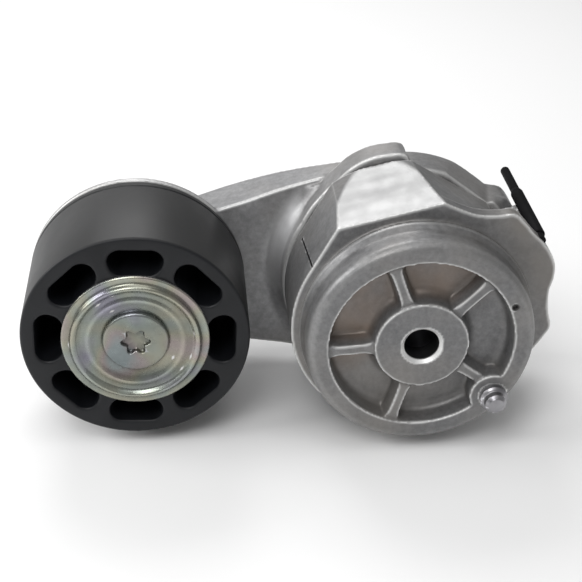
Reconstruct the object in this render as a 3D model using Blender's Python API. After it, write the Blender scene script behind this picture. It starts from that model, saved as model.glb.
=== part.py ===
"""Automatic belt tensioner with a smooth idler pulley beside its spring case.

Frame: metres, +Z up, X to the right in the photograph, Y along the pivot axis away from the engine.
The origin is on the pivot axis at the mounting face, which looks along -Y.
"""

import math

import bmesh
import bpy
from mathutils import Matrix, Vector

MM = 0.001

# Fits
CLEAR = 0.3 * MM
RUN_GAP = 0.6 * MM

# Overall sizes
PULLEY_RADIUS = 45.0 * MM
PULLEY_WIDTH = 49.0 * MM
PULLEY_FRONT = 13.8 * MM
BODY_RADIUS = 50.0 * MM
SIDE_GAP = 16.3 * MM
ARM_LENGTH = PULLEY_RADIUS + BODY_RADIUS + SIDE_GAP

# Places along the pivot axis, front to rear
COLLAR_FRONT = 17.5 * MM
FLANGE_DEPTH = 6.5 * MM
ARM_GAP = 2.2 * MM
LIMB_FRONT = PULLEY_FRONT + PULLEY_WIDTH + ARM_GAP
LIMB_THICK = 21.0 * MM
LIMB_REAR = LIMB_FRONT + LIMB_THICK
RIM_LEAD = 11.0 * MM
RIM_FRONT = LIMB_FRONT - RIM_LEAD
HUB_REAR = LIMB_FRONT + 8.0 * MM
BASE_REAR = RIM_FRONT - RUN_GAP

# Spring case
RIM_STEP = 4.7 * MM
RIM_LAND = 9.2 * MM
RIM_FILLET = 4.0 * MM
BEAD_HEIGHT = 1.7 * MM
RIM_RADIUS = BODY_RADIUS - RIM_STEP
BEAD_RADIUS = RIM_RADIUS + BEAD_HEIGHT
POCKET_RADIUS = RIM_RADIUS - RIM_LAND
POCKET_DEPTH = 8.5 * MM
POCKET_FILLET = 2.0 * MM
RIB_CREST = 3.8 * MM
RIB_ROOT = 7.2 * MM
RIB_DROP = 1.2 * MM
RIB_ANGLES = (109.0, 45.0, -36.0, -107.0, -177.0)
BOSS_RADIUS = 18.6 * MM
BORE_RADIUS = 6.95 * MM
BORE_CHAMFER = 1.2 * MM
WALL = 6.5 * MM
FLOOR = 6.0 * MM
CAVITY_RADIUS = BODY_RADIUS - WALL
CAVITY_FRONT = POCKET_DEPTH + FLOOR
# Flats on the case: direction in degrees, then distance from the axis at the front and at the rear,
# as a share of the body radius
FLATS = ((150.0, 0.986, 0.986), (103.0, 0.992, 1.100), (58.0, 0.996, 0.950))
LAND_SHARE = 1.106
EAR_OUTLINE = (
    (80.6, 1.078), (74.6, 1.050), (65.0, 1.044), (57.0, 1.110), (51.6, 1.194), (46.0, 1.190), (40.0, 1.182),
    (34.0, 1.198), (28.0, 1.204), (22.5, 1.192), (17.0, 1.146), (12.3, 1.098), (4.5, 1.084), (0.0, 1.096),
    (-5.0, 1.122), (-10.7, 1.082), (-17.1, 1.040), (-24.0, 0.985),
)

# Locating pin and lock pin
DOWEL_RADIUS = 5.0 * MM
DOWEL_OUT = 7.5 * MM
DOWEL_TIP_RADIUS = 4.2 * MM
DOWEL_COLLAR = 0.6 * MM
DOWEL_COLLAR_OUT = 3.2 * MM
DOWEL_IN = 8.0 * MM
DOWEL_INSET = 2.8 * MM
DOWEL_CENTRE = POCKET_RADIUS + DOWEL_INSET
DOWEL_ANGLE = -40.0
DOWEL_BOSS = 9.4 * MM
LOCK_RADIUS = 2.6 * MM
LOCK_TAIL_RADIUS = 1.95 * MM
LOCK_SHOULDER = 0.8 * MM
LOCK_SPIGOT_RADIUS = LOCK_RADIUS - LOCK_SHOULDER
BAND_HEIGHT = 5.0 * MM
BAND_GAP = 1.8 * MM
BAND_RADIUS = BODY_RADIUS + BAND_HEIGHT
LOCK_CENTRE = BAND_RADIUS + BAND_GAP + LOCK_RADIUS
LOCK_ANGLE = 34.6
LOCK_SEAT = 4.7 * MM
LOCK_TAIL_OUT = 13.0 * MM

# Pivot
SHAFT_RADIUS = 11.7 * MM
SHAFT_BORE = BORE_RADIUS + 0.25 * MM
SWAGE_WALL = 2.3 * MM
SHAFT_SEAT = 10.0 * MM
BUSH_WALL = 2.2 * MM
SLEEVE_WALL = 4.5 * MM
WASHER_THICK = 2.4 * MM
PLATE_THICK = 2.5 * MM
PLATE_RADIUS = 30.0 * MM
SWAGE_RADIUS = SHAFT_BORE + SWAGE_WALL
BUSH_RADIUS = SHAFT_RADIUS + CLEAR + BUSH_WALL
SLEEVE_BORE = BUSH_RADIUS + CLEAR
SLEEVE_RADIUS = SLEEVE_BORE + SLEEVE_WALL
BOSS_REAR = CAVITY_FRONT + 5.0 * MM
SLEEVE_FRONT = BOSS_REAR + WASHER_THICK + 2 * CLEAR

# Arm
HUB_RADIUS = BODY_RADIUS + 0.8 * MM
END_RADIUS = PULLEY_RADIUS - 15.0 * MM
SHROUD_RADIUS = PULLEY_RADIUS - 0.2 * MM
SHROUD_THICK = 3.0 * MM
CUP_RADIUS = CAVITY_RADIUS + 0.5 * MM
CUP_REAR = HUB_REAR - 9.0 * MM
# Where the limb's edges leave its round end, in degrees above and below the line of centres
LIMB_LEAVE = 53.0
LIMB_RETURN = 68.0
# Edges of the limb: share of the arm length towards the pulley, share of the body radius up or down
LIMB_TOP = (
    (0.676, 0.600), (0.586, 0.660), (0.510, 0.720), (0.435, 0.774), (0.353, 0.822), (0.270, 0.866),
    (0.198, 0.902), (0.076, 0.955),
)
LIMB_LOW = (
    (0.676, 0.660), (0.570, 0.706), (0.478, 0.742), (0.426, 0.766), (0.300, 0.830), (0.198, 0.880),
    (0.076, 0.950),
)
SKIRT_RADIUS = 9.0 * MM
STOP_RADIUS = LOCK_CENTRE + 1.1 * MM
STOP_DEPTH = 5.5 * MM
LUG_DEPTH = 12.5 * MM
LUG_OUTLINE = (
    (146.0, 1.018), (139.0, 1.036), (133.0, 1.048), (127.0, 1.066), (122.0, 1.080), (114.0, 1.124),
    (107.0, 1.146), (101.0, 1.152), (92.5, 1.146), (89.5, 1.110), (88.0, 1.010),
)
BAND_RAMP = ((44.0, 0.98), (40.0, 1.046), (36.5, 1.090))
BAND_END = -20.0
BAND_TAPER = 7.0 * MM

# Spring and damper
WIRE_RADIUS = 3.2 * MM
DAMPER_WALL = 2.7 * MM
COIL_GAP = 4.3 * MM
COIL_RADIUS = CAVITY_RADIUS - CLEAR - DAMPER_WALL - COIL_GAP - WIRE_RADIUS
COIL_TURNS = 4.6
COIL_POINTS = 10
DAMPER_LEAD = 6.0 * MM
DAMPER_OPEN = 40.0

# Pulley and bearing
BEARING_BORE = 8.5 * MM
BEARING_OUTER = 23.5 * MM
BEARING_WIDTH = 19.0 * MM
BEARING_INSET = 9.2 * MM
BEARING_FRONT = PULLEY_FRONT + BEARING_INSET
BEARING_REAR = BEARING_FRONT + BEARING_WIDTH
BEARING_MID = (BEARING_FRONT + BEARING_REAR) / 2
PITCH_RADIUS = (BEARING_BORE + BEARING_OUTER) / 2
BALL_RADIUS = 4.2 * MM
BALL_COUNT = 8
RACE_RADIUS = BALL_RADIUS + CLEAR
SHOULDER = 2.8 * MM
CAGE_HALF = 1.4 * MM
SEAL_THICK = 1.4 * MM
SLOT_COUNT = 8
SLOT_FIRST = 87.0
SLOT_LENGTH = 21.0 * MM
SLOT_RIM = 5.3 * MM
SLOT_HUB = 5.1 * MM
SEAT_RADIUS = BEARING_OUTER + CLEAR
SLOT_RADIAL = PULLEY_RADIUS - SLOT_RIM - SEAT_RADIUS - SLOT_HUB
SLOT_CENTRE = PULLEY_RADIUS - SLOT_RIM - SLOT_RADIAL / 2
RIM_WALL = 7.0 * MM
WEB = 3.2 * MM
LIP = 2.3 * MM
LIP_WALL = 1.8 * MM
WEB_REAR = BEARING_REAR + CLEAR + LIP_WALL + 3.9 * MM

# Cover, shield and bolt
COVER_LAP = 5.5 * MM
COVER_RADIUS = BEARING_OUTER + COVER_LAP
SHEET = 0.9 * MM
BOLT_RADIUS = 5.0 * MM
HEAD_RADIUS = 12.9 * MM
HEAD_THICK = 3.6 * MM
DRIVE_RADIUS = 5.7 * MM
DRIVE_DEPTH = 2.4 * MM
SHIELD_RADIUS = COVER_RADIUS - 0.6 * MM
BOSS_NECK = BEARING_BORE + 3.8 * MM
BOSS_STEP = BOSS_NECK + 1.5 * MM

SEGMENTS = 40
FINE = 32
COARSE = 24

for old in list(bpy.data.objects):
    bpy.data.objects.remove(old, do_unlink=True)


def material(name, colour, roughness, metallic):
    mat = bpy.data.materials.new(name)
    mat.use_nodes = True
    shader = mat.node_tree.nodes["Principled BSDF"]
    shader.inputs["Base Color"].default_value = (*colour, 1.0)
    shader.inputs["Roughness"].default_value = roughness
    shader.inputs["Metallic"].default_value = metallic
    return mat


CAST = material("cast_aluminium", (0.42, 0.42, 0.41), 0.48, 0.9)
ZINC = material("zinc_plate", (0.62, 0.60, 0.52), 0.3, 1.0)
STEEL = material("bearing_steel", (0.55, 0.56, 0.58), 0.25, 1.0)
SPRING_STEEL = material("spring_steel", (0.10, 0.10, 0.11), 0.4, 0.9)
BLACK_OXIDE = material("black_oxide", (0.02, 0.02, 0.02), 0.4, 0.4)
NYLON = material("black_nylon", (0.035, 0.037, 0.04), 0.5, 0.0)
ACETAL = material("white_acetal", (0.75, 0.73, 0.66), 0.5, 0.0)
RUBBER = material("seal_rubber", (0.05, 0.03, 0.025), 0.7, 0.0)


def polar(radius, degrees):
    angle = math.radians(degrees)
    return Vector((radius * math.cos(angle), 0.0, radius * math.sin(angle)))


def finish(name, bm, mat, place=(0.0, 0.0, 0.0)):
    """Turns a bmesh into a named object that stands at place, with round sides shaded smooth."""
    bmesh.ops.remove_doubles(bm, verts=bm.verts, dist=1e-6)
    bmesh.ops.recalc_face_normals(bm, faces=bm.faces)
    mesh = bpy.data.meshes.new(name)
    bm.to_mesh(mesh)
    bm.free()
    mesh.materials.append(mat)
    mesh.shade_smooth()
    mesh.set_sharp_from_angle(angle=math.radians(30))
    obj = bpy.data.objects.new(name, mesh)
    obj.location = place
    bpy.context.scene.collection.objects.link(obj)
    return obj


def turned(name, profile, mat, steps=FINE, place=(0.0, 0.0, 0.0), sweep=360.0, start=0.0):
    """Spins a closed profile of (radius, y) pairs about the Y axis."""
    bm = bmesh.new()
    verts = [bm.verts.new((r, y, 0.0)) for r, y in profile]
    bmesh.ops.rotate(bm, verts=verts, matrix=Matrix.Rotation(math.radians(-start), 3, "Y"))
    pairs = zip(verts, verts[1:] + verts[:1])
    edges = [bm.edges.new((a, b)) for a, b in pairs if max(a.co.xz.length, b.co.xz.length) > 1e-9]
    full = sweep >= 360.0
    if not full:
        bm.faces.new(verts)
    made = bmesh.ops.spin(
        bm,
        geom=verts + edges,
        axis=(0, -1, 0),
        cent=(0, 0, 0),
        angle=math.radians(sweep),
        steps=steps,
        use_merge=full,
    )
    if not full:
        last = [v for v in made["geom_last"] if isinstance(v, bmesh.types.BMVert)]
        bm.faces.new(last)
    return finish(name, bm, mat, place)


def prism(name, outline, y0, y1, mat, place=(0.0, 0.0, 0.0)):
    """Extrudes an outline of X, Z points from y0 to y1."""
    bm = bmesh.new()
    face = bm.faces.new([bm.verts.new((p.x, y0, p.z)) for p in outline])
    grown = bmesh.ops.extrude_face_region(bm, geom=[face])
    moved = [v for v in grown["geom"] if isinstance(v, bmesh.types.BMVert)]
    bmesh.ops.translate(bm, verts=moved, vec=(0, y1 - y0, 0))
    return finish(name, bm, mat, place)


def lofted(name, rings, mat):
    """Skins outlines of X, Z points that stand at given places along Y, and closes both ends."""
    bm = bmesh.new()
    loops = [[bm.verts.new((p.x, y, p.z)) for p in outline] for outline, y in rings]
    for near, far in zip(loops, loops[1:]):
        for i in range(len(near)):
            bm.faces.new((near[i - 1], near[i], far[i], far[i - 1]))
    bm.faces.new(loops[0])
    bm.faces.new(loops[-1])
    return finish(name, bm, mat)


def cutter(obj):
    obj.hide_render = True
    obj.display_type = "WIRE"
    return obj


def combine(obj, other, operation):
    mod = obj.modifiers.new(operation.lower() + "_" + other.name, "BOOLEAN")
    mod.operation = operation
    mod.solver = "EXACT"
    mod.object = cutter(other)


def drum(name, radius, y0, y1, centre=(0.0, 0.0), steps=COARSE):
    """A plain solid cylinder along Y, used to cut or to add."""
    bm = bmesh.new()
    turn = Matrix.Rotation(math.radians(90), 4, "X")
    move = Matrix.Translation((centre[0], (y0 + y1) / 2, centre[1]))
    bmesh.ops.create_cone(
        bm, cap_ends=True, segments=steps, radius1=radius, radius2=radius, depth=y1 - y0, matrix=move @ turn
    )
    return finish(name, bm, CAST)


def smooth_path(points, steps):
    """Points on a Catmull-Rom curve through the given ones, for cast outlines."""
    path = []
    for i in range(len(points) - 1):
        before = points[max(i - 1, 0)]
        here = points[i]
        after = points[i + 1]
        beyond = points[min(i + 2, len(points) - 1)]
        for k in range(steps):
            t = k / steps
            path.append(
                0.5 * (2 * here + (after - before) * t
                       + (2 * before - 5 * here + 4 * after - beyond) * t ** 2
                       + (3 * here - before - 3 * after + beyond) * t ** 3)
            )
    path.append(points[-1])
    return path


# Base housing: die-cast spring case with flats, a pin ear, a ribbed front pocket and the bolt bore
bm = bmesh.new()
bmesh.ops.create_cone(
    bm,
    cap_ends=True,
    segments=SEGMENTS,
    radius1=BODY_RADIUS * LAND_SHARE,
    radius2=BODY_RADIUS * LAND_SHARE,
    depth=BASE_REAR - COLLAR_FRONT,
    matrix=Matrix.Translation((0, (COLLAR_FRONT + BASE_REAR) / 2, 0)) @ Matrix.Rotation(math.pi / 2, 4, "X"),
)
sides = list(FLATS)
angle = FLATS[0][0] + 7.5
while angle < 360.0 + FLATS[-1][0] - 9.0:
    right = min(max((angle - 270.0) / 60.0, 0.0), 1.0)
    share = 1.0 - 0.035 * right
    sides.append((angle, share, share))
    angle += 7.5
for heading, front, rear in sides:
    out = polar(1.0, heading)
    lean = BODY_RADIUS * (rear - front) / (BASE_REAR - COLLAR_FRONT)
    normal = (out - Vector((0, lean, 0))).normalized()
    point = out * BODY_RADIUS * front + Vector((0, COLLAR_FRONT, 0))
    cut = bmesh.ops.bisect_plane(
        bm,
        geom=bm.verts[:] + bm.edges[:] + bm.faces[:],
        dist=1e-7,
        plane_co=point,
        plane_no=normal,
        clear_outer=True,
    )
    rim = [e for e in cut["geom_cut"] if isinstance(e, bmesh.types.BMEdge)]
    bmesh.ops.edgeloop_fill(bm, edges=rim)
    bmesh.ops.remove_doubles(bm, verts=bm.verts, dist=1e-6)
base = finish("base_housing", bm, CAST)

ear_points = [polar(BODY_RADIUS * share, heading) for heading, share in EAR_OUTLINE]
ear_root = [polar(CAVITY_RADIUS, heading) for heading in (EAR_OUTLINE[-1][0], 30.0, EAR_OUTLINE[0][0])]
ear_path = smooth_path(ear_points, 2) + ear_root
combine(base, prism("ear", ear_path, COLLAR_FRONT, COLLAR_FRONT + FLANGE_DEPTH, CAST), "UNION")

fillet = [
    (RIM_RADIUS - RIM_FILLET * (1 - math.sin(math.radians(a))), RIM_FILLET * (1 - math.cos(math.radians(a))))
    for a in (0, 30, 60, 90)
]
front_profile = [(BORE_RADIUS * 0.4, 0.0)] + fillet + [
    (RIM_RADIUS - 0.3 * MM, COLLAR_FRONT - 6.5 * MM),
    (BEAD_RADIUS - 0.3 * MM, COLLAR_FRONT - 3.0 * MM),
    (BEAD_RADIUS, COLLAR_FRONT - 2.2 * MM),
    (BEAD_RADIUS - 1.2 * MM, COLLAR_FRONT - 0.6 * MM),
    (BEAD_RADIUS - 1.2 * MM, COLLAR_FRONT + 3.0 * MM),
    (BORE_RADIUS * 0.4, COLLAR_FRONT + 3.0 * MM),
]
combine(base, turned("front_boss", front_profile, CAST, SEGMENTS), "UNION")

dowel = polar(DOWEL_CENTRE, DOWEL_ANGLE)
dowel_hole = drum("dowel_hole", DOWEL_RADIUS + CLEAR, -2.0 * MM, DOWEL_IN + CLEAR, (dowel.x, dowel.z))
combine(base, dowel_hole, "DIFFERENCE")
lock = polar(LOCK_CENTRE, LOCK_ANGLE)
ear_rear = COLLAR_FRONT + FLANGE_DEPTH
lock_hole = drum(
    "lock_hole", LOCK_SPIGOT_RADIUS + CLEAR, ear_rear - LOCK_SEAT, ear_rear + 3.0 * MM, (lock.x, lock.z), 20
)
combine(base, lock_hole, "DIFFERENCE")

cavity_profile = [
    (BORE_RADIUS * 0.5, BOSS_REAR),
    (BOSS_RADIUS, BOSS_REAR),
    (BOSS_RADIUS, CAVITY_FRONT),
    (CAVITY_RADIUS, CAVITY_FRONT),
    (CAVITY_RADIUS, BASE_REAR + 5.0 * MM),
    (BORE_RADIUS * 0.5, BASE_REAR + 5.0 * MM),
]
combine(base, turned("spring_cavity", cavity_profile, CAST, SEGMENTS), "DIFFERENCE")

bore_profile = [
    (0.0, -2.0 * MM),
    (BORE_RADIUS + BORE_CHAMFER + 2.0 * MM, -2.0 * MM),
    (BORE_RADIUS, BORE_CHAMFER),
    (BORE_RADIUS, SHAFT_SEAT),
    (SHAFT_RADIUS + CLEAR, SHAFT_SEAT),
    (SHAFT_RADIUS + CLEAR, BASE_REAR + 8.0 * MM),
    (0.0, BASE_REAR + 8.0 * MM),
]
combine(base, turned("bolt_bore", bore_profile, CAST, FINE), "DIFFERENCE")

pocket_profile = [
    (BOSS_RADIUS, -2.0 * MM),
    (POCKET_RADIUS, -2.0 * MM),
    (POCKET_RADIUS, POCKET_DEPTH - POCKET_FILLET),
    (POCKET_RADIUS - POCKET_FILLET, POCKET_DEPTH),
    (BOSS_RADIUS + POCKET_FILLET, POCKET_DEPTH),
    (BOSS_RADIUS, POCKET_DEPTH - POCKET_FILLET),
]
pocket = turned("pocket", pocket_profile, CAST, SEGMENTS)
for number, heading in enumerate(RIB_ANGLES):
    along = polar(1.0, heading)
    near = along * (BOSS_RADIUS - 3.0 * MM)
    far = along * (POCKET_RADIUS + 3.0 * MM)
    rib_rings = []
    for width, y in ((RIB_CREST, RIB_DROP), (RIB_ROOT, POCKET_DEPTH + 2.0 * MM)):
        across = polar(width / 2, heading + 90.0)
        rib_rings.append(([near - across, far - across, far + across, near + across], y))
    combine(pocket, lofted(f"rib_{number + 1}", rib_rings, CAST), "DIFFERENCE")
dowel_boss = drum("dowel_boss", DOWEL_BOSS, -4.0 * MM, POCKET_DEPTH + 4.0 * MM, (dowel.x, dowel.z))
combine(pocket, dowel_boss, "DIFFERENCE")
combine(base, pocket, "DIFFERENCE")

# Locating pin: a hardened steel dowel pressed into the boss beside the rim
dowel_profile = [
    (0.0, -DOWEL_OUT),
    (DOWEL_TIP_RADIUS - 1.1 * MM, -DOWEL_OUT),
    (DOWEL_TIP_RADIUS, -DOWEL_OUT + 1.3 * MM),
    (DOWEL_TIP_RADIUS, -DOWEL_COLLAR_OUT - 0.3 * MM),
    (DOWEL_RADIUS - 0.1 * MM, -DOWEL_COLLAR_OUT),
    (DOWEL_RADIUS + DOWEL_COLLAR, -DOWEL_COLLAR_OUT + 0.7 * MM),
    (DOWEL_RADIUS + DOWEL_COLLAR, -CLEAR),
    (DOWEL_RADIUS, -CLEAR),
    (DOWEL_RADIUS, DOWEL_IN - 0.6 * MM),
    (DOWEL_RADIUS - 0.6 * MM, DOWEL_IN),
    (0.0, DOWEL_IN),
]
turned("locating_pin", dowel_profile, STEEL, COARSE, dowel)

# Pivot shaft: hollow steel post held in the case, its rear end swaged over the end plate
plate_front = HUB_REAR + CLEAR
plate_rear = plate_front + PLATE_THICK
shaft_profile = [
    (SHAFT_BORE, SHAFT_SEAT + CLEAR),
    (SHAFT_RADIUS - 0.8 * MM, SHAFT_SEAT + CLEAR),
    (SHAFT_RADIUS, SHAFT_SEAT + CLEAR + 0.8 * MM),
    (SHAFT_RADIUS, plate_front - CLEAR),
    (SWAGE_RADIUS, plate_front - CLEAR),
    (SWAGE_RADIUS, plate_rear + CLEAR),
    (SWAGE_RADIUS + 1.2 * MM, plate_rear + CLEAR),
    (SWAGE_RADIUS + 0.6 * MM, plate_rear + 1.4 * MM),
    (SHAFT_BORE + 0.6 * MM, plate_rear + 1.4 * MM),
    (SHAFT_BORE, plate_rear + 0.8 * MM),
]
turned("pivot_shaft", shaft_profile, STEEL, COARSE)


def ring(name, inner, outer, y0, y1, mat, place=(0.0, 0.0, 0.0)):
    profile = [(inner, y0), (outer, y0), (outer, y1), (inner, y1)]
    return turned(name, profile, mat, COARSE, place)


recess = HUB_REAR - WASHER_THICK - 2 * CLEAR
washer_outer = SLEEVE_RADIUS + 6.5 * MM
ring("pivot_bushing", SHAFT_RADIUS + CLEAR, BUSH_RADIUS, SLEEVE_FRONT, recess - CLEAR, NYLON)
front_washer = BOSS_REAR + CLEAR
rear_washer = recess + CLEAR
shaft_fit = SHAFT_RADIUS + CLEAR
ring("front_thrust_washer", shaft_fit, BOSS_RADIUS, front_washer, front_washer + WASHER_THICK, ACETAL)
ring("rear_thrust_washer", shaft_fit, washer_outer, rear_washer, rear_washer + WASHER_THICK, ACETAL)
plate_profile = [
    (SWAGE_RADIUS + CLEAR, plate_front),
    (PLATE_RADIUS, plate_front),
    (PLATE_RADIUS, plate_rear - 0.8 * MM),
    (PLATE_RADIUS - 0.8 * MM, plate_rear),
    (SWAGE_RADIUS + CLEAR, plate_rear),
]
turned("end_plate", plate_profile, ZINC, FINE)

# Arm casting: cup over the spring, limb, and the post that carries the pulley
hub_profile = [
    (SLEEVE_BORE, SLEEVE_FRONT),
    (SLEEVE_RADIUS - 0.6 * MM, SLEEVE_FRONT),
    (SLEEVE_RADIUS, SLEEVE_FRONT + 0.6 * MM),
    (SLEEVE_RADIUS, CUP_REAR),
    (CUP_RADIUS, CUP_REAR),
    (CUP_RADIUS, RIM_FRONT),
    (HUB_RADIUS - 0.8 * MM, RIM_FRONT),
    (HUB_RADIUS, RIM_FRONT + 0.8 * MM),
    (HUB_RADIUS, HUB_REAR - 3.0 * MM),
    (HUB_RADIUS - 0.8 * MM, HUB_REAR - 0.8 * MM),
    (HUB_RADIUS - 1.8 * MM, HUB_REAR),
    (washer_outer + CLEAR, HUB_REAR),
    (washer_outer + CLEAR, recess),
    (SLEEVE_BORE, recess),
]
arm = turned("arm_casting", hub_profile, CAST, SEGMENTS)

flat_out = polar(1.0, 52.0)
flat_front = HUB_RADIUS * 0.943
flat_rear = HUB_RADIUS * 0.984
flat_side = Vector((-flat_out.z, 0, flat_out.x))
bm = bmesh.new()
near_face = []
for y, distance in (
    (RIM_FRONT - 2.0 * MM, flat_front - 0.2 * MM),
    (HUB_REAR + 2.0 * MM, flat_rear + 0.2 * MM),
):
    for out, side in ((distance, -1), (distance + 20.0 * MM, -1), (distance + 20.0 * MM, 1), (distance, 1)):
        near_face.append(bm.verts.new(flat_out * out + flat_side * side * 40.0 * MM + Vector((0, y, 0))))
bmesh.ops.convex_hull(bm, input=near_face)
combine(arm, finish("hub_flat", bm, CAST), "DIFFERENCE")

lug_points = [polar(BODY_RADIUS * share, heading) for heading, share in LUG_OUTLINE]
lug_root = [polar(CUP_RADIUS + 2.0 * MM, heading) for heading in (88.0, 102.0, 117.0, 132.0, 146.0)]
lug_path = smooth_path(lug_points, 2) + lug_root
combine(arm, prism("hub_lug", lug_path, RIM_FRONT, RIM_FRONT + LUG_DEPTH, CAST), "UNION")

band = [polar(BODY_RADIUS * share, heading) for heading, share in BAND_RAMP]
band += [polar(BAND_RADIUS, 33.0 - (33.0 - BAND_END) * k / 9) for k in range(10)]
band += [polar(BODY_RADIUS * 0.98, BAND_END - 7.0)]
band += [polar(CUP_RADIUS + 1.6 * MM, BAND_END - 7.0 + (51.0 - BAND_END) * k / 8) for k in range(9)]
band_lip = [p * min(1.0, (HUB_RADIUS - 0.3 * MM) / p.length) for p in band]
band_rings = (
    (band_lip, RIM_FRONT + 0.4 * MM),
    (band, RIM_FRONT + BAND_TAPER),
    (band, HUB_REAR - 0.6 * MM),
)
combine(arm, lofted("hub_band", band_rings, CAST), "UNION")

stop_face = LOCK_ANGLE - math.degrees(math.asin((LOCK_RADIUS + CLEAR) / LOCK_CENTRE))
stop = [polar(STOP_RADIUS, stop_face - 13.0 * k / 3) for k in range(4)]
stop += [polar(BAND_RADIUS - 2.0 * MM, stop_face - 15.0), polar(BAND_RADIUS - 2.0 * MM, stop_face)]
combine(arm, prism("stop_lug", stop, RIM_FRONT + 0.8 * MM, RIM_FRONT + 0.8 * MM + STOP_DEPTH, CAST), "UNION")

sweep = 360.0 - LIMB_LEAVE - LIMB_RETURN
end = [Vector((-ARM_LENGTH, 0, 0)) + polar(END_RADIUS, LIMB_LEAVE + sweep * k / 24) for k in range(25)]
top_edge = [Vector((-ARM_LENGTH * u, 0, BODY_RADIUS * v)) for u, v in LIMB_TOP]
low_edge = [Vector((-ARM_LENGTH * u, 0, -BODY_RADIUS * v)) for u, v in LIMB_LOW]
upper = smooth_path([end[0]] + top_edge, 2)
lower = smooth_path([end[-1]] + low_edge, 2)
limb_outline = end + lower[1:] + upper[:0:-1]
limb = prism("limb", limb_outline, LIMB_FRONT, LIMB_REAR, CAST)
ease = limb.modifiers.new("edge", "BEVEL")
ease.width = 1.6 * MM
ease.segments = 2
ease.limit_method = "ANGLE"
ease.angle_limit = math.radians(50)
bm = bmesh.new()
ramp = []
for x, y in (
    (-ARM_LENGTH * 0.593, LIMB_REAR),
    (-HUB_RADIUS * 0.167, HUB_REAR),
    (10 * MM, HUB_REAR),
    (10 * MM, LIMB_REAR + 9 * MM),
    (-ARM_LENGTH * 0.593, LIMB_REAR + 9 * MM),
):
    for z in (-70 * MM, 70 * MM):
        ramp.append(bm.verts.new((x, y, z)))
bmesh.ops.convex_hull(bm, input=ramp)
combine(limb, finish("limb_ramp", bm, CAST), "DIFFERENCE")
plate_room = drum("plate_room", PLATE_RADIUS + 2.0 * MM, RIM_FRONT, LIMB_REAR + 5 * MM, steps=SEGMENTS)
combine(limb, plate_room, "DIFFERENCE")
combine(arm, limb, "UNION")

shroud_front = LIMB_FRONT - 0.4 * MM
shroud_rear = shroud_front + SHROUD_THICK
shroud_profile = [
    (0.0, shroud_front),
    (SHROUD_RADIUS - 0.6 * MM, shroud_front),
    (SHROUD_RADIUS, shroud_front + 0.6 * MM),
    (SHROUD_RADIUS, shroud_rear - 0.6 * MM),
    (SHROUD_RADIUS - 0.6 * MM, shroud_rear),
    (0.0, shroud_rear),
]
combine(arm, turned("pulley_shroud", shroud_profile, CAST, SEGMENTS, (-ARM_LENGTH, 0, 0)), "UNION")

skirt_in = HUB_RADIUS - 2.0 * MM
skirt_profile = [(skirt_in, LIMB_FRONT + 2.0 * MM), (skirt_in, RIM_FRONT + 1.0 * MM)]
skirt_profile += [
    (HUB_RADIUS - 0.2 * MM + SKIRT_RADIUS * (1 - math.cos(math.radians(a))),
     LIMB_FRONT + 0.3 * MM - SKIRT_RADIUS * (1 - math.sin(math.radians(a))))
    for a in (0, 15, 30, 45, 60, 75, 90)
]
skirt_profile += [(HUB_RADIUS - 0.2 * MM + SKIRT_RADIUS, LIMB_FRONT + 2.0 * MM)]
skirt = turned("skirt", skirt_profile, CAST, SEGMENTS)
slim = [Vector((p.x, 0, p.z * 0.95)) for p in limb_outline]
combine(skirt, prism("skirt_keep", slim, RIM_FRONT - 2 * MM, LIMB_FRONT + 3 * MM, CAST), "INTERSECT")
combine(arm, skirt, "UNION")

neck_rear = BEARING_REAR + CLEAR + 3.8 * MM
post_profile = [
    (0.0, BEARING_FRONT + 1.5 * MM),
    (BEARING_BORE - CLEAR - 0.6 * MM, BEARING_FRONT + 1.5 * MM),
    (BEARING_BORE - CLEAR, BEARING_FRONT + 2.1 * MM),
    (BEARING_BORE - CLEAR, BEARING_REAR + CLEAR),
    (BOSS_NECK, BEARING_REAR + CLEAR),
    (BOSS_NECK, neck_rear),
    (BOSS_STEP, neck_rear),
    (BOSS_STEP + 1.0 * MM, LIMB_FRONT - 3.0 * MM),
    (BOSS_STEP + 4.0 * MM, LIMB_FRONT + 1.0 * MM),
    (BOSS_STEP + 4.0 * MM, LIMB_FRONT + 2.0 * MM),
    (0.0, LIMB_FRONT + 2.0 * MM),
]
combine(arm, turned("pulley_post", post_profile, CAST, FINE, (-ARM_LENGTH, 0, 0)), "UNION")
thread_end = LIMB_FRONT + 5.0 * MM
bolt_thread = drum("bolt_thread", BOLT_RADIUS + CLEAR, BEARING_FRONT, thread_end, (-ARM_LENGTH, 0))
combine(arm, bolt_thread, "DIFFERENCE")

# Torsion spring: one round wire wound between the case floor and the back of the arm cup
coil_start = CAVITY_FRONT + CLEAR + WIRE_RADIUS
coil_end = CUP_REAR - CLEAR - WIRE_RADIUS
count = round(COIL_TURNS * COIL_POINTS)
coil = []
for k in range(count + 1):
    place = polar(COIL_RADIUS, 360.0 * COIL_TURNS * k / count)
    coil.append(Vector((place.x, coil_start + (coil_end - coil_start) * k / count, place.z)))
curve = bpy.data.curves.new("torsion_spring", "CURVE")
curve.dimensions = "3D"
curve.bevel_depth = WIRE_RADIUS
curve.bevel_resolution = 1
curve.use_fill_caps = True
spline = curve.splines.new("POLY")
spline.points.add(len(coil) - 1)
for point, place in zip(spline.points, coil):
    point.co = (*place, 1.0)
curve.materials.append(SPRING_STEEL)
spring = bpy.data.objects.new("torsion_spring", curve)
bpy.context.scene.collection.objects.link(spring)
least = min(
    (a - b).length - 2 * WIRE_RADIUS
    for i, a in enumerate(coil)
    for b in coil[i + COIL_POINTS // 2:]
)
print(f"torsion_spring: least gap to itself {least * 1000:.2f} mm")

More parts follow.
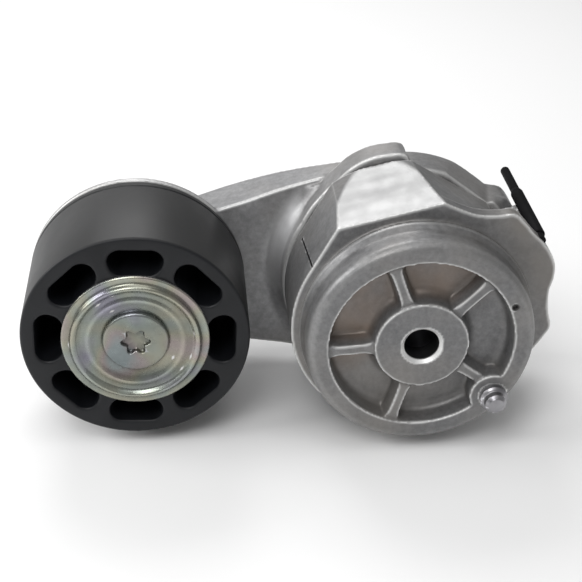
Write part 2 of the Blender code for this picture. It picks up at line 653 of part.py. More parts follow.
# Damper band: open nylon band in the arm cup that rubs on the wall of the spring case
damper_outer = CAVITY_RADIUS - CLEAR
damper_profile = [
    (damper_outer - DAMPER_WALL, BASE_REAR - DAMPER_LEAD),
    (damper_outer, BASE_REAR - DAMPER_LEAD),
    (damper_outer, CUP_REAR - CLEAR),
    (damper_outer - DAMPER_WALL, CUP_REAR - CLEAR),
]
turned("damper_band", damper_profile, NYLON, FINE, sweep=360.0 - DAMPER_OPEN, start=90.0 + DAMPER_OPEN / 2)

# Lock pin: black stepped pin pushed into the ear from behind, holding back the arm's stop lug
tail_rear = HUB_REAR + LOCK_TAIL_OUT
lock_profile = [
    (0.0, ear_rear - LOCK_SEAT + CLEAR),
    (LOCK_SPIGOT_RADIUS - 0.4 * MM, ear_rear - LOCK_SEAT + CLEAR),
    (LOCK_SPIGOT_RADIUS, ear_rear - LOCK_SEAT + CLEAR + 0.4 * MM),
    (LOCK_SPIGOT_RADIUS, ear_rear + CLEAR),
    (LOCK_RADIUS - 0.3 * MM, ear_rear + CLEAR),
    (LOCK_RADIUS, ear_rear + CLEAR + 0.6 * MM),
    (LOCK_RADIUS, RIM_FRONT + STOP_DEPTH + 2.5 * MM),
    (LOCK_TAIL_RADIUS, RIM_FRONT + STOP_DEPTH + 5.0 * MM),
    (LOCK_TAIL_RADIUS, tail_rear - 1.2 * MM),
    (LOCK_TAIL_RADIUS * 0.7, tail_rear - 0.3 * MM),
    (0.0, tail_rear),
]
turned("lock_pin", lock_profile, BLACK_OXIDE, 16, lock)

# Pulley: smooth moulded idler with deep oval pockets, moulded over the bearing's outer ring
pulley_at = (-ARM_LENGTH, 0.0, 0.0)
pulley_rear = PULLEY_FRONT + PULLEY_WIDTH
seat = SEAT_RADIUS
lip_front = BEARING_FRONT - CLEAR
lip_rear = BEARING_REAR + CLEAR
groove = pulley_rear - 4.0 * MM
pulley_profile = [
    (PULLEY_RADIUS - 0.8 * MM, PULLEY_FRONT),
    (PULLEY_RADIUS, PULLEY_FRONT + 0.8 * MM),
    (PULLEY_RADIUS, groove),
    (PULLEY_RADIUS - 0.5 * MM, groove + 0.3 * MM),
    (PULLEY_RADIUS - 0.5 * MM, groove + 0.9 * MM),
    (PULLEY_RADIUS, groove + 1.2 * MM),
    (PULLEY_RADIUS, pulley_rear - 0.6 * MM),
    (PULLEY_RADIUS - 0.6 * MM, pulley_rear),
    (PULLEY_RADIUS - RIM_WALL, pulley_rear),
    (PULLEY_RADIUS - RIM_WALL - 0.8 * MM, WEB_REAR),
    (SHIELD_RADIUS + 1.2 * MM, WEB_REAR),
    (SHIELD_RADIUS + 1.2 * MM, lip_rear + LIP_WALL),
    (seat - LIP, lip_rear + LIP_WALL),
    (seat - LIP, lip_rear),
    (seat, lip_rear),
    (seat, lip_front),
    (seat - LIP, lip_front),
    (seat - LIP, lip_front - 2.6 * MM),
    (seat + 2.4 * MM, lip_front - 3.4 * MM),
    (seat + 2.8 * MM, PULLEY_FRONT),
]
pulley = turned("pulley", pulley_profile, NYLON, SEGMENTS, pulley_at)


def slot_outline(heading):
    """A kidney that follows the rim, with rounded ends."""
    half_r = SLOT_RADIAL / 2
    half_t = SLOT_LENGTH / 2
    corner = SLOT_RADIAL * 0.48
    flat = []
    for sx, sz, turn in ((1, 1, 0), (-1, 1, 90), (-1, -1, 180), (1, -1, 270)):
        for k in range(5):
            a = math.radians(turn + 22.5 * k)
            u = sx * (half_t - corner) + corner * math.cos(a)
            flat.append((u, sz * (half_r - corner) + corner * math.sin(a)))
    return [polar(SLOT_CENTRE + v, heading - math.degrees(u / SLOT_CENTRE)) for u, v in flat]


for number in range(SLOT_COUNT):
    heading = SLOT_FIRST + 360.0 * number / SLOT_COUNT
    outline = slot_outline(heading)
    slot_rear = WEB_REAR - WEB
    slot = prism(f"slot_{number + 1}", outline, PULLEY_FRONT - 2 * MM, slot_rear, NYLON, pulley_at)
    combine(pulley, slot, "DIFFERENCE")

# Bearing: sealed single-row ball bearing
groove_half = math.degrees(math.acos(SHOULDER / RACE_RADIUS))


def race(sign, wall):
    """Profile of a ring whose ball groove opens towards the pitch circle."""
    arc = []
    for k in range(5):
        a = math.radians(-groove_half + 2 * groove_half * k / 4)
        arc.append((PITCH_RADIUS - sign * RACE_RADIUS * math.cos(a), BEARING_MID + RACE_RADIUS * math.sin(a)))
    shoulder = PITCH_RADIUS - sign * SHOULDER
    front = [(wall, BEARING_FRONT), (shoulder, BEARING_FRONT)]
    return front + arc + [(shoulder, BEARING_REAR), (wall, BEARING_REAR)]


turned("bearing_inner_ring", race(1, BEARING_BORE), STEEL, FINE, pulley_at)
turned("bearing_outer_ring", race(-1, BEARING_OUTER), STEEL, FINE, pulley_at)
cage = ring(
    "bearing_cage",
    PITCH_RADIUS - CAGE_HALF,
    PITCH_RADIUS + CAGE_HALF,
    BEARING_MID - RACE_RADIUS - 1.5 * MM,
    BEARING_MID + RACE_RADIUS + 1.5 * MM,
    ACETAL,
    pulley_at,
)
for number in range(BALL_COUNT):
    heading = 360.0 * (number + 0.5) / BALL_COUNT
    where = Vector(pulley_at) + polar(PITCH_RADIUS, heading) + Vector((0, BEARING_MID, 0))
    bm = bmesh.new()
    bmesh.ops.create_uvsphere(bm, u_segments=8, v_segments=6, radius=BALL_RADIUS)
    ball = finish(f"ball_{number + 1}", bm, STEEL, where)
    ball.data.shade_smooth()
    bm = bmesh.new()
    bmesh.ops.create_cone(
        bm, cap_ends=True, segments=12, radius1=RACE_RADIUS, radius2=RACE_RADIUS, depth=CAGE_HALF * 6,
        matrix=Matrix.Rotation(math.radians(-heading), 4, "Y") @ Matrix.Rotation(math.radians(90), 4, "Y"),
    )
    combine(cage, finish(f"pocket_for_ball_{number + 1}", bm, ACETAL, where), "DIFFERENCE")
seal_inner = PITCH_RADIUS - SHOULDER + CLEAR
seal_outer = PITCH_RADIUS + SHOULDER - CLEAR
for name, seal_y in (
    ("seal_front", BEARING_FRONT + 0.5 * MM),
    ("seal_rear", BEARING_REAR - 0.5 * MM - SEAL_THICK),
):
    ring(name, seal_inner, seal_outer, seal_y, seal_y + SEAL_THICK, RUBBER, pulley_at)

# Dust cover: pressed zinc-plated cap clamped under the bolt head
flange_y = PULLEY_FRONT - SHEET - 0.5 * MM
dish = HEAD_RADIUS + 1.1 * MM
# Share of the way from the dish to the edge, then the height over the flange
cover_steps = (
    (0.0, -3.0 * MM), (0.05, -2.5 * MM), (0.27, 0.5 * MM), (0.36, 1.0 * MM), (0.45, 0.4 * MM),
    (0.62, 0.6 * MM), (0.717, 2.0 * MM), (0.767, 1.6 * MM), (0.81, 0.4 * MM), (1.0, 0.0),
)
cover_front = [(BOLT_RADIUS + CLEAR, flange_y - cover_steps[0][1])]
cover_front += [(dish + (COVER_RADIUS - dish) * share, flange_y - rise) for share, rise in cover_steps]
cover_profile = cover_front + [(r, y + SHEET) for r, y in reversed(cover_front)]
turned("dust_cover", cover_profile, ZINC, FINE, pulley_at)

# Clamp spacer: turned steel ring between the cover and the inner ring
seat_y = cover_front[0][1]
spacer_front = seat_y + SHEET + CLEAR
ring("clamp_spacer", BOLT_RADIUS + CLEAR, BOSS_NECK, spacer_front, lip_front, STEEL, pulley_at)

# Rear shield: pressed disc on the neck of the arm's post
shield_front = lip_rear + LIP_WALL + RUN_GAP
shield_profile = [
    (BOSS_NECK + CLEAR, shield_front),
    (SHIELD_RADIUS, shield_front),
    (SHIELD_RADIUS, shield_front + SHEET),
    (BOSS_NECK + CLEAR, shield_front + SHEET),
]
turned("rear_shield", shield_profile, ZINC, FINE, pulley_at)

# Pulley bolt: flanged head with a six-lobe drive, threaded into the arm's post
head_rear = seat_y - CLEAR
head_front = head_rear - HEAD_THICK
bolt_profile = [
    (0.0, head_front),
    (HEAD_RADIUS - 2.2 * MM, head_front + 0.1 * MM),
    (HEAD_RADIUS - 0.9 * MM, head_front + 0.5 * MM),
    (HEAD_RADIUS, head_front + 1.5 * MM),
    (HEAD_RADIUS, head_rear - 0.4 * MM),
    (HEAD_RADIUS - 0.4 * MM, head_rear),
    (BOLT_RADIUS, head_rear),
    (BOLT_RADIUS, thread_end - 3.0 * MM),
    (BOLT_RADIUS - 1.0 * MM, thread_end - 2.0 * MM),
    (0.0, thread_end - 2.0 * MM),
]
bolt = turned("pulley_bolt", bolt_profile, ZINC, FINE, pulley_at)
lobes = []
for k in range(30):
    turn = 360.0 * k / 30
    lobes.append(polar(DRIVE_RADIUS * (0.86 + 0.14 * math.cos(math.radians(6 * turn))), turn))
drive = prism("drive", lobes, head_front - 2 * MM, head_front + DRIVE_DEPTH, ZINC, pulley_at)
combine(bolt, drive, "DIFFERENCE")

# Joint frames: empties on the pivot axis, the pulley axis and the lock pin axis
ON_ARM = ("arm_casting", "damper_band", "pivot_bushing", "bearing_inner_ring", "dust_cover", "clamp_spacer",
          "rear_shield", "pulley_bolt")
ON_PULLEY = ("pulley", "bearing_outer_ring", "seal_front", "seal_rear")
ON_CAGE = ("bearing_cage",) + tuple(f"ball_{n + 1}" for n in range(BALL_COUNT))
for name, place, members in (
    ("pivot_axis", (0.0, 0.0, 0.0), ON_ARM),
    ("pulley_axis", pulley_at, ON_PULLEY + ON_CAGE),
    ("lock_axis", lock, ("lock_pin",)),
):
    frame = bpy.data.objects.new(name, None)
    frame.location = place
    bpy.context.scene.collection.objects.link(frame)
    bpy.context.view_layer.update()
    for member in members:
        obj = bpy.data.objects[member]
        obj.parent = frame
        obj.matrix_parent_inverse = frame.matrix_world.inverted()
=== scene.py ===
import math

import bpy
from mathutils import Matrix, Vector


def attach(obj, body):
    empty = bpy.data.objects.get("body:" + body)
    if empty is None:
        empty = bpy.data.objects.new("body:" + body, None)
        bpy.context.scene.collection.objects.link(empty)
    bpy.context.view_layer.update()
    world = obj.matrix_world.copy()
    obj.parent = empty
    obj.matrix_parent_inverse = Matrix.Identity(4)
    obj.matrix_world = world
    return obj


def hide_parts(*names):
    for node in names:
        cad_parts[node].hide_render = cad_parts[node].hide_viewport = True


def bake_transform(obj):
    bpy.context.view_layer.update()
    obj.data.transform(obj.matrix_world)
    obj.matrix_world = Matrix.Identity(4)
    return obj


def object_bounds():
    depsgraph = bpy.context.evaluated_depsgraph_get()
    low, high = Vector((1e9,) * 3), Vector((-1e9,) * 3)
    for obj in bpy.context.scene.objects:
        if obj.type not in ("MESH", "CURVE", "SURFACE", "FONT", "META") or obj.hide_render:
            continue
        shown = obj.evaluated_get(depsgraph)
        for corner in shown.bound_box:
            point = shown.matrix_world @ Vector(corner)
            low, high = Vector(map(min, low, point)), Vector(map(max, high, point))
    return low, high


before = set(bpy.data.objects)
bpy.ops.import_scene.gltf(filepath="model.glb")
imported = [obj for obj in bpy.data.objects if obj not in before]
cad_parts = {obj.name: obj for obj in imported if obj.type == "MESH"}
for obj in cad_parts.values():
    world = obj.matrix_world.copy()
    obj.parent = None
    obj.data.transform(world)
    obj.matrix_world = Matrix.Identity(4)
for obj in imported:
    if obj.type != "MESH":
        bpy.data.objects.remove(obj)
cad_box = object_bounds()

# Spring case: the fixed half of the tensioner, a die-cast aluminium drum with flats, an ear for the
# release pin and a ribbed pocket in its mounting face. It is cast, tumbled, then bored and drilled.
MM = 0.001
REARWARD = (0.0, 1.0, 0.0)

case_radius = 50.0 * MM
case_left_radius = 49.35 * MM
case_right_radius = 48.25 * MM
case_corner_radius = 55.3 * MM
drum_headings = [153.0 + 2.45 * k for k in range(104)]
corner_headings = [47.0 + 4.0 * k for k in range(27)]
left_blend_start, left_blend_span = 150.0, 40.0
right_blend_start, right_blend_span = 270.0, 60.0
collar_front = 17.5 * MM
case_rear = 53.4 * MM
beyond_case = 60.0 * MM
# Heading of each flat, then its distance from the axis at the front and at the rear.
case_flats = ((150.5, 49.3, 49.3), (103.0, 49.6, 55.0), (58.0, 49.8, 47.5))
ear_depth = 6.5 * MM
ear_edge = (
    (80.6, 53.9), (74.6, 52.5), (65.0, 52.2), (57.0, 55.5), (51.6, 59.7), (46.0, 59.5),
    (40.0, 59.1), (34.0, 59.9), (28.0, 60.2), (22.5, 59.6), (17.0, 57.3), (12.3, 54.9),
    (4.5, 54.2), (0.0, 54.8), (-5.0, 56.1), (-10.7, 54.1), (-17.1, 52.0), (-24.0, 49.2),
)
ear_root_headings = (-24.0, 10.0, 45.0, 80.6)
curve_steps = 6
round_steps = 160
rim_radius = 45.3 * MM
collar_radius = 46.8 * MM
collar_neck = 45.6 * MM
collar_back = 20.5 * MM
pocket_radius = 36.1 * MM
pocket_depth = 8.5 * MM
hub_radius = 18.6 * MM
rib_headings = (109.0, 45.0, -36.0, -107.0, -177.0)
rib_places = [(14.0 + 2.0 * k) * MM for k in range(14)]
rib_crest, rib_crest_half, rib_crest_flare = 1.2 * MM, 1.9 * MM, 0.9 * MM
rib_root, rib_root_half, rib_root_flare = 10.0 * MM, 3.7 * MM, 1.6 * MM
rib_flare_reach = 1.8 * MM
case_grain = 0.66 * MM
bore_radius = 6.95 * MM
bore_chamfer = 3.2 * MM
post_seat = 12.0 * MM
post_seat_front = 10.0 * MM
dowel_reach = 38.9 * MM
dowel_heading = -40.0
dowel_boss_radius = 9.4 * MM
dowel_hole_radius = 5.3 * MM
pin_reach = 59.4 * MM
pin_heading = 34.6
pin_hole_radius = 2.1 * MM
mark_heading = 24.0
cavity_radius = 43.5 * MM
cavity_front = 14.5 * MM
seam_front_heading, seam_front = 147.0, 18.4 * MM
seam_rear_heading, seam_rear = 150.3, 46.0 * MM
seam_floor, burr_floor, above_skin = 48.75 * MM, 48.7 * MM, 51.0 * MM
seam_half_turn, burr_half_turn = 0.34, 0.65


def on_circle(radius, heading, y=0.0, centre_x=0.0):
    """A point at a heading in degrees round an axis along Y."""
    turn = math.radians(heading)
    return Vector((centre_x + radius * math.cos(turn), y, radius * math.sin(turn)))


def only(piece):
    """Leaves one object selected and active."""
    bpy.ops.object.select_all(action="DESELECT")
    piece.select_set(True)
    bpy.context.view_layer.objects.active = piece


def smooth(piece, degrees):
    """Shades a piece smooth, apart from edges that turn more sharply than an angle."""
    only(piece)
    bpy.ops.object.shade_smooth_by_angle(angle=math.radians(degrees))


def drawn(name, rings):
    """A solid drawn through rings of points, each ring extruded from the last and moved into place."""
    bpy.ops.object.select_all(action="DESELECT")
    bpy.ops.mesh.primitive_circle_add(vertices=len(rings[0]), radius=MM, fill_type="NGON")
    piece = bpy.context.object
    piece.name = name
    for vert, point in zip(piece.data.vertices, rings[0]):
        vert.co = point
    for before, after in zip(rings, rings[1:]):
        places = {tuple(round(c, 6) for c in point): k for k, point in enumerate(before)}
        bpy.ops.object.mode_set(mode="EDIT")
        bpy.ops.mesh.extrude_region_move()
        bpy.ops.object.mode_set(mode="OBJECT")
        for vert in piece.data.vertices:
            if vert.select:
                vert.co = after[places[tuple(round(c, 6) for c in vert.co)]]
    bpy.ops.object.mode_set(mode="EDIT")
    bpy.ops.mesh.select_all(action="SELECT")
    bpy.ops.mesh.normals_make_consistent(inside=False)
    bpy.ops.object.mode_set(mode="OBJECT")
    return piece


def slab(name, outline, front, rear):
    """A plate with the given outline between two places along Y."""
    return drawn(name, [[Vector((p.x, y, p.z)) for p in outline] for y in (front, rear)])


def turned(name, profile, steps, centre=(0.0, 0.0)):
    """A closed profile of (radius, y) points spun about an axis along Y."""
    bpy.ops.object.select_all(action="DESELECT")
    bpy.ops.mesh.primitive_circle_add(vertices=len(profile), radius=MM, fill_type="NOTHING")
    piece = bpy.context.object
    piece.name = name
    for vert, (radius, y) in zip(piece.data.vertices, profile):
        vert.co = (centre[0] + radius, y, centre[1])
    bpy.ops.object.mode_set(mode="EDIT")
    bpy.ops.mesh.select_all(action="SELECT")
    bpy.ops.mesh.spin(steps=steps, angle=math.tau, center=(centre[0], 0.0, centre[1]), axis=REARWARD)
    bpy.ops.mesh.select_all(action="SELECT")
    bpy.ops.mesh.remove_doubles(threshold=2e-6)
    bpy.ops.mesh.delete_loose()
    bpy.ops.mesh.select_all(action="SELECT")
    bpy.ops.mesh.normals_make_consistent(inside=False)
    bpy.ops.object.mode_set(mode="OBJECT")
    return piece


def eased(corners, pieces=5):
    """A profile whose (radius, y, fillet) corners are rounded."""
    points = []
    for k, (r, y, fillet) in enumerate(corners):
        here = Vector((r, y))
        back = Vector(corners[k - 1][:2]) - here
        on = Vector(corners[(k + 1) % len(corners)][:2]) - here
        if fillet <= 0.0:
            points.append((r, y))
            continue
        half = back.angle(on) / 2
        reach = min(fillet / math.tan(half), back.length * 0.49, on.length * 0.49)
        radius = reach * math.tan(half)
        middle = here + (back.normalized() + on.normalized()).normalized() * (radius / math.sin(half))
        first = here + back.normalized() * reach - middle
        last = here + on.normalized() * reach - middle
        sweep = first.angle_signed(last)
        for i in range(pieces + 1):
            arm = Matrix.Rotation(-sweep * i / pieces, 2) @ first
            points.append(tuple(middle + arm))
    return points


def flowing(points, steps):
    """Points on a smooth curve through the given ones."""
    path = []
    for k in range(len(points) - 1):
        a, b = points[max(k - 1, 0)], points[k]
        c, d = points[k + 1], points[min(k + 2, len(points) - 1)]
        for i in range(steps):
            t = i / steps
            path.append(0.5 * (2 * b + (c - a) * t + (2 * a - 5 * b + 4 * c - d) * t * t
                               + (3 * b - a - 3 * c + d) * t ** 3))
    return path + [points[-1]]


def block(name, corner):
    """A cube whose corners, given as -1 or 1 on three axes, are moved to their places."""
    bpy.ops.object.select_all(action="DESELECT")
    bpy.ops.mesh.primitive_cube_add(size=2.0)
    piece = bpy.context.object
    piece.name = name
    for vert in piece.data.vertices:
        vert.co = corner(*(round(c) for c in vert.co))
    bpy.ops.object.mode_set(mode="EDIT")
    bpy.ops.mesh.select_all(action="SELECT")
    bpy.ops.mesh.normals_make_consistent(inside=False)
    bpy.ops.object.mode_set(mode="OBJECT")
    return piece


def rod(name, radius, front, rear, centre, steps=64):
    """A plain cylinder along Y, for drilling and for bosses."""
    return turned(name, [(0.0, front), (radius, front), (radius, rear), (0.0, rear)], steps, centre)


def worked(piece, tool, operation, solver="EXACT"):
    """Adds, cuts or keeps what the tool covers, then takes the tool away."""
    only(piece)
    change = piece.modifiers.new("work", "BOOLEAN")
    change.operation = operation
    change.solver = solver
    change.object = tool
    bpy.ops.object.modifier_apply(modifier="work")
    bpy.data.objects.remove(tool, do_unlink=True)


def machined(piece, tool, operation="DIFFERENCE"):
    """Works a casting after it has its skin, which leaves the new edges sharp."""
    worked(piece, tool, operation, "MANIFOLD")


def as_cast(piece, grain, passes=3):
    """Closes the shape into one skin and rounds its edges as a casting's are."""
    only(piece)
    skin = piece.modifiers.new("skin", "REMESH")
    skin.mode = "VOXEL"
    skin.voxel_size = grain
    bpy.ops.object.modifier_apply(modifier="skin")
    soft = piece.modifiers.new("soft", "SMOOTH")
    soft.factor = 0.5
    soft.iterations = passes
    bpy.ops.object.modifier_apply(modifier="soft")


def deburred(piece):
    """Clears the slivers that machining leaves along its edges, splits the faces of many sides there,
    and shades the skin smooth between the edges."""
    sliver = 0.02 * MM
    only(piece)
    bpy.ops.object.mode_set(mode="EDIT")
    bpy.ops.mesh.select_all(action="SELECT")
    bpy.ops.mesh.remove_doubles(threshold=sliver)
    bpy.ops.mesh.dissolve_degenerate(threshold=sliver)
    bpy.ops.mesh.select_mode(type="FACE")
    bpy.ops.mesh.select_all(action="DESELECT")
    bpy.ops.mesh.select_face_by_sides(number=4, type="GREATER")
    bpy.ops.mesh.quads_convert_to_tris()
    bpy.ops.mesh.select_mode(type="VERT")
    bpy.ops.object.mode_set(mode="OBJECT")
    smooth(piece, 38)


def fitted(piece, finish, body, slot, *nodes):
    """Gives a finished piece its material and its place in the assembly."""
    only(piece)
    piece.data.materials.clear()
    piece.data.materials.append(finish)
    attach(piece, body)
    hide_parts(*nodes)


case_edge = []
for heading in drum_headings:
    left = min((heading - left_blend_start) / left_blend_span, 1.0)
    right = min(max((heading - right_blend_start) / right_blend_span, 0.0), 1.0)
    reach = case_left_radius + (case_radius - case_left_radius) * left
    case_edge.append(on_circle(reach + (case_right_radius - case_radius) * right, heading))
case_edge += [on_circle(case_corner_radius, heading) for heading in corner_headings]
case = slab("spring_case", case_edge, collar_front, case_rear)
only(case)
bpy.ops.object.mode_set(mode="EDIT")
for heading, at_front, at_rear in case_flats:
    out = on_circle(1.0, heading)
    lean = (at_rear - at_front) * MM / (case_rear - collar_front)
    bpy.ops.mesh.select_all(action="SELECT")
    bpy.ops.mesh.bisect(
        plane_co=on_circle(at_front * MM, heading, collar_front), plane_no=out - Vector((0.0, lean, 0.0)),
        use_fill=True, clear_outer=True,
    )
bpy.ops.mesh.select_all(action="SELECT")
bpy.ops.mesh.normals_make_consistent(inside=False)
bpy.ops.object.mode_set(mode="OBJECT")

ear_path = flowing([on_circle(reach * MM, heading) for heading, reach in ear_edge], curve_steps)
ear_path += [on_circle(cavity_radius, heading) for heading in ear_root_headings]
worked(case, slab("ear", ear_path, collar_front, collar_front + ear_depth), "UNION")
front_turning = eased([
    (3.0 * MM, 0.0, 0.0), (rim_radius, 0.0, 4.0 * MM), (rim_radius - 0.3 * MM, 11.0 * MM, 1.0 * MM),
    (collar_radius, 13.9 * MM, 0.7 * MM), (collar_radius, 15.4 * MM, 0.6 * MM),
    (collar_neck, 16.6 * MM, 0.4 * MM), (collar_neck, collar_back, 0.0), (3.0 * MM, collar_back, 0.0),
])
worked(case, turned("front_turning", front_turning, round_steps), "UNION")


def rib_ring(heading, half, flare, y):
    """One level of a rib that widens into the hub and into the rim."""
    along, across = on_circle(1.0, heading), on_circle(1.0, heading + 90.0)
    level = Vector((0.0, y, 0.0))
    near, far = [], []
    for reach in rib_places:
        from_hub, from_rim = max(reach - hub_radius, 0.0), max(pocket_radius - reach, 0.0)
        spread = math.exp(-from_hub / rib_flare_reach) + math.exp(-from_rim / rib_flare_reach)
        width = half + flare * spread
        near.append(along * reach + across * width + level)
        far.append(along * reach - across * width + level)
    return near + far[::-1]


pocket = turned("pocket", eased([
    (hub_radius - 0.5 * MM, -3.0 * MM, 0.0), (pocket_radius + 0.8 * MM, -3.0 * MM, 0.0),
    (pocket_radius - 0.5 * MM, pocket_depth, 3.0 * MM), (hub_radius + 1.2 * MM, pocket_depth, 4.0 * MM),
]), round_steps)
for heading in rib_headings:
    rib = drawn("rib", [
        rib_ring(heading, rib_crest_half, rib_crest_flare, rib_crest),
        rib_ring(heading, rib_root_half, rib_root_flare, rib_root),
    ])
    worked(pocket, rib, "DIFFERENCE")
dowel_at = on_circle(dowel_reach, dowel_heading)
dowel_boss = rod("dowel_boss", dowel_boss_radius, -5.0 * MM, 17.0 * MM, (dowel_at.x, dowel_at.z))
worked(pocket, dowel_boss, "DIFFERENCE")
worked(case, pocket, "DIFFERENCE")
as_cast(case, case_grain)

cavity = [
    (3.4 * MM, 19.5 * MM), (hub_radius, 19.5 * MM), (hub_radius, cavity_front), (cavity_radius, cavity_front),
    (cavity_radius, beyond_case), (3.4 * MM, beyond_case),
]
machined(case, turned("cavity", cavity, steps=128))
bore = [
    (0.0, -2.0 * MM), (bore_radius + bore_chamfer, -2.0 * MM), (bore_radius, 1.2 * MM),
    (bore_radius, post_seat_front), (post_seat, post_seat_front), (post_seat, beyond_case), (0.0, beyond_case),
]
machined(case, turned("bore", bore, steps=96))
machined(case, rod("dowel_hole", dowel_hole_radius, -2.0 * MM, 8.3 * MM, (dowel_at.x, dowel_at.z)))
pin_at = on_circle(pin_reach, pin_heading)
machined(case, rod("pin_hole", pin_hole_radius, 19.3 * MM, 27.0 * MM, (pin_at.x, pin_at.z), steps=32))
mark_at = on_circle(dowel_reach, mark_heading)
rim_mark = [(0.0, -1.0 * MM), (1.6 * MM, -1.0 * MM), (0.5 * MM, 1.0 * MM), (0.0, 1.0 * MM)]
machined(case, turned("rim_mark", rim_mark, 24, (mark_at.x, mark_at.z)))


def parting_corner(i, j, k):
    """A corner of the thin cutter for the parting line."""
    heading, y = (seam_front_heading, seam_front) if k < 0 else (seam_rear_heading, seam_rear)
    return on_circle(seam_floor if j < 0 else above_skin, heading + seam_half_turn * i, y)


def burr_corner(i, j, k):
    """A corner of the cutter for the small burr at the parting line's rear end."""
    heading = seam_rear_heading + burr_half_turn * i
    return on_circle(burr_floor if j < 0 else above_skin, heading, (46.3 + 0.6 * k) * MM)


machined(case, block("parting_line", parting_corner))
machined(case, block("parting_burr", burr_corner))
deburred(case)


class Nodes:
    """Wires the nodes of one material."""

    def __init__(self, name):
        self.material = bpy.data.materials.new(name)
        self.material.use_nodes = True
        self.tree = self.material.node_tree
        self.shader = self.tree.nodes["Principled BSDF"]
        self.place = self.add("ShaderNodeTexCoord").outputs["Object"]

    def add(self, kind, **settings):
        node = self.tree.nodes.new(kind)
        for key, value in settings.items():
            setattr(node, key, value)
        return node

    def link(self, source, target):
        self.tree.links.new(source, target)

    def feed(self, value, socket):
        """Sets a number or a colour on a socket, or links another node's output to it."""
        if isinstance(value, tuple):
            socket.default_value = (*value, 1.0)
        elif isinstance(value, float):
            socket.default_value = value
        else:
            self.link(value, socket)

    def noise(self, scale, detail=2.0, rough=0.5, place=None):
        node = self.add("ShaderNodeTexNoise")
        node.inputs["Scale"].default_value = scale
        node.inputs["Detail"].default_value = detail
        node.inputs["Roughness"].default_value = rough
        self.link(place or self.place, node.inputs["Vector"])
        return node.outputs["Fac"]

    def ramp(self, source, *stops):
        node = self.add("ShaderNodeValToRGB")
        band = node.color_ramp.elements
        while len(band) < len(stops):
            band.new(0.5)
        for stop, (where, colour) in zip(band, stops):
            stop.position = where
            stop.color = (*colour, 1.0) if isinstance(colour, tuple) else (colour, colour, colour, 1.0)
        self.link(source, node.inputs["Fac"])
        return node.outputs["Color"]

    def mix(self, factor, first, second, blend="MIX"):
        node = self.add("ShaderNodeMix", data_type="RGBA", blend_type=blend)
        self.feed(factor, node.inputs["Factor"])
        self.feed(first, node.inputs[6])
        self.feed(second, node.inputs[7])
        return node.outputs[2]

    def sums(self, operation, first, second):
        node = self.add("ShaderNodeMath", operation=operation)
        self.feed(first, node.inputs[0])
        self.feed(second, node.inputs[1])
        return node.outputs[0]

    def overlap(self, *masks):
        """White only where all the masks are white."""
        shared = masks[0]
        for mask in masks[1:]:
            shared = self.sums("MULTIPLY", shared, mask)
        return shared

    def bump(self, height, strength, distance):
        node = self.add("ShaderNodeBump")
        node.inputs["Strength"].default_value = strength
        node.inputs["Distance"].default_value = distance
        self.link(height, node.inputs["Height"])
        self.link(node.outputs["Normal"], self.shader.inputs["Normal"])

    def edges(self, low, high):
        """White along outer edges, black on flats and in corners."""
        return self.ramp(self.add("ShaderNodeNewGeometry").outputs["Pointiness"], (low, 0.0), (high, 1.0))

    def corners(self, low, high):
        """White down in corners, black elsewhere."""
        return self.ramp(self.add("ShaderNodeNewGeometry").outputs["Pointiness"], (low, 1.0), (high, 0.0))

    def fade(self, value, low, high):
        """Goes from 0 to 1 while a value goes from low to high."""
        node = self.add("ShaderNodeMapRange")
        node.inputs["From Min"].default_value = low
        node.inputs["From Max"].default_value = high
        self.link(value, node.inputs["Value"])
        return node.outputs["Result"]

    def towards(self, way, low, high):
        """Goes from 0 to 1 between two distances from the pivot in one direction."""
        node = self.add("ShaderNodeVectorMath", operation="DOT_PRODUCT")
        node.inputs[1].default_value = way
        self.link(self.place, node.inputs[0])
        return self.fade(node.outputs["Value"], low, high)

    def stretched(self, scale, shift=(0.0, 0.0, 0.0)):
        """The piece's own coordinates, scaled on each axis and then shifted."""
        node = self.add("ShaderNodeMapping")
        node.inputs["Location"].default_value = shift
        node.inputs["Scale"].default_value = scale
        self.link(self.place, node.inputs["Vector"])
        return node.outputs["Vector"]

    def reach(self, centre_x=0.0, centre_z=0.0):
        """Distance from an axis along Y."""
        size = self.add("ShaderNodeVectorMath", operation="LENGTH")
        self.link(self.stretched((1.0, 0.0, 1.0), (-centre_x, 0.0, -centre_z)), size.inputs[0])
        return size.outputs["Value"]


def shade(colour, share, most=1.0):
    """A colour made darker or lighter, up to a limit."""
    return tuple(min(c * share, most) for c in colour)


def cast_metal(name, dark, light, stain_and_shade, painted_light, painted_shade=None):
    """Tumbled die-cast aluminium: mottled grey with stained patches, painted shade in its corners, and its
    edges made lighter, partly as wear and partly as painted highlight. A piece's own painted light lies under
    the lightened edges, and its painted shade over them."""
    work = Nodes(name)
    speckle = work.sums("MULTIPLY", work.noise(420.0, 5.0, 0.7), 0.6)
    blend = work.sums("ADD", speckle, work.sums("MULTIPLY", work.noise(60.0, 4.0, 0.6), 0.4))
    mottle = work.ramp(blend, (0.38, dark), (0.62, light))
    patches = work.ramp(work.noise(24.0, 3.0), (0.45, 0.0), (0.72, 0.6))
    with_painted_light = painted_light(work, work.mix(patches, mottle, stain_and_shade))
    # Painted shade: darker down in the corners that pointiness finds.
    corner_shaded = work.mix(work.corners(0.42, 0.495), with_painted_light, shade(stain_and_shade, 0.6))
    # Edges made lighter, partly as wear and partly as painted highlight.
    finish = work.mix(work.edges(0.507, 0.555), corner_shaded, (0.8, 0.8, 0.79))
    if painted_shade:
        finish = painted_shade(work, finish)
    work.link(finish, work.shader.inputs["Base Color"])
    work.shader.inputs["Metallic"].default_value = 0.6
    rough = work.ramp(work.noise(130.0, 4.0), (0.3, 0.40), (0.7, 0.52))
    work.link(rough, work.shader.inputs["Roughness"])
    skin = work.sums("ADD", work.noise(500.0, 3.0), work.sums("MULTIPLY", work.noise(1600.0, 2.0), 0.6))
    work.bump(skin, strength=0.24, distance=0.0003)
    return work.material


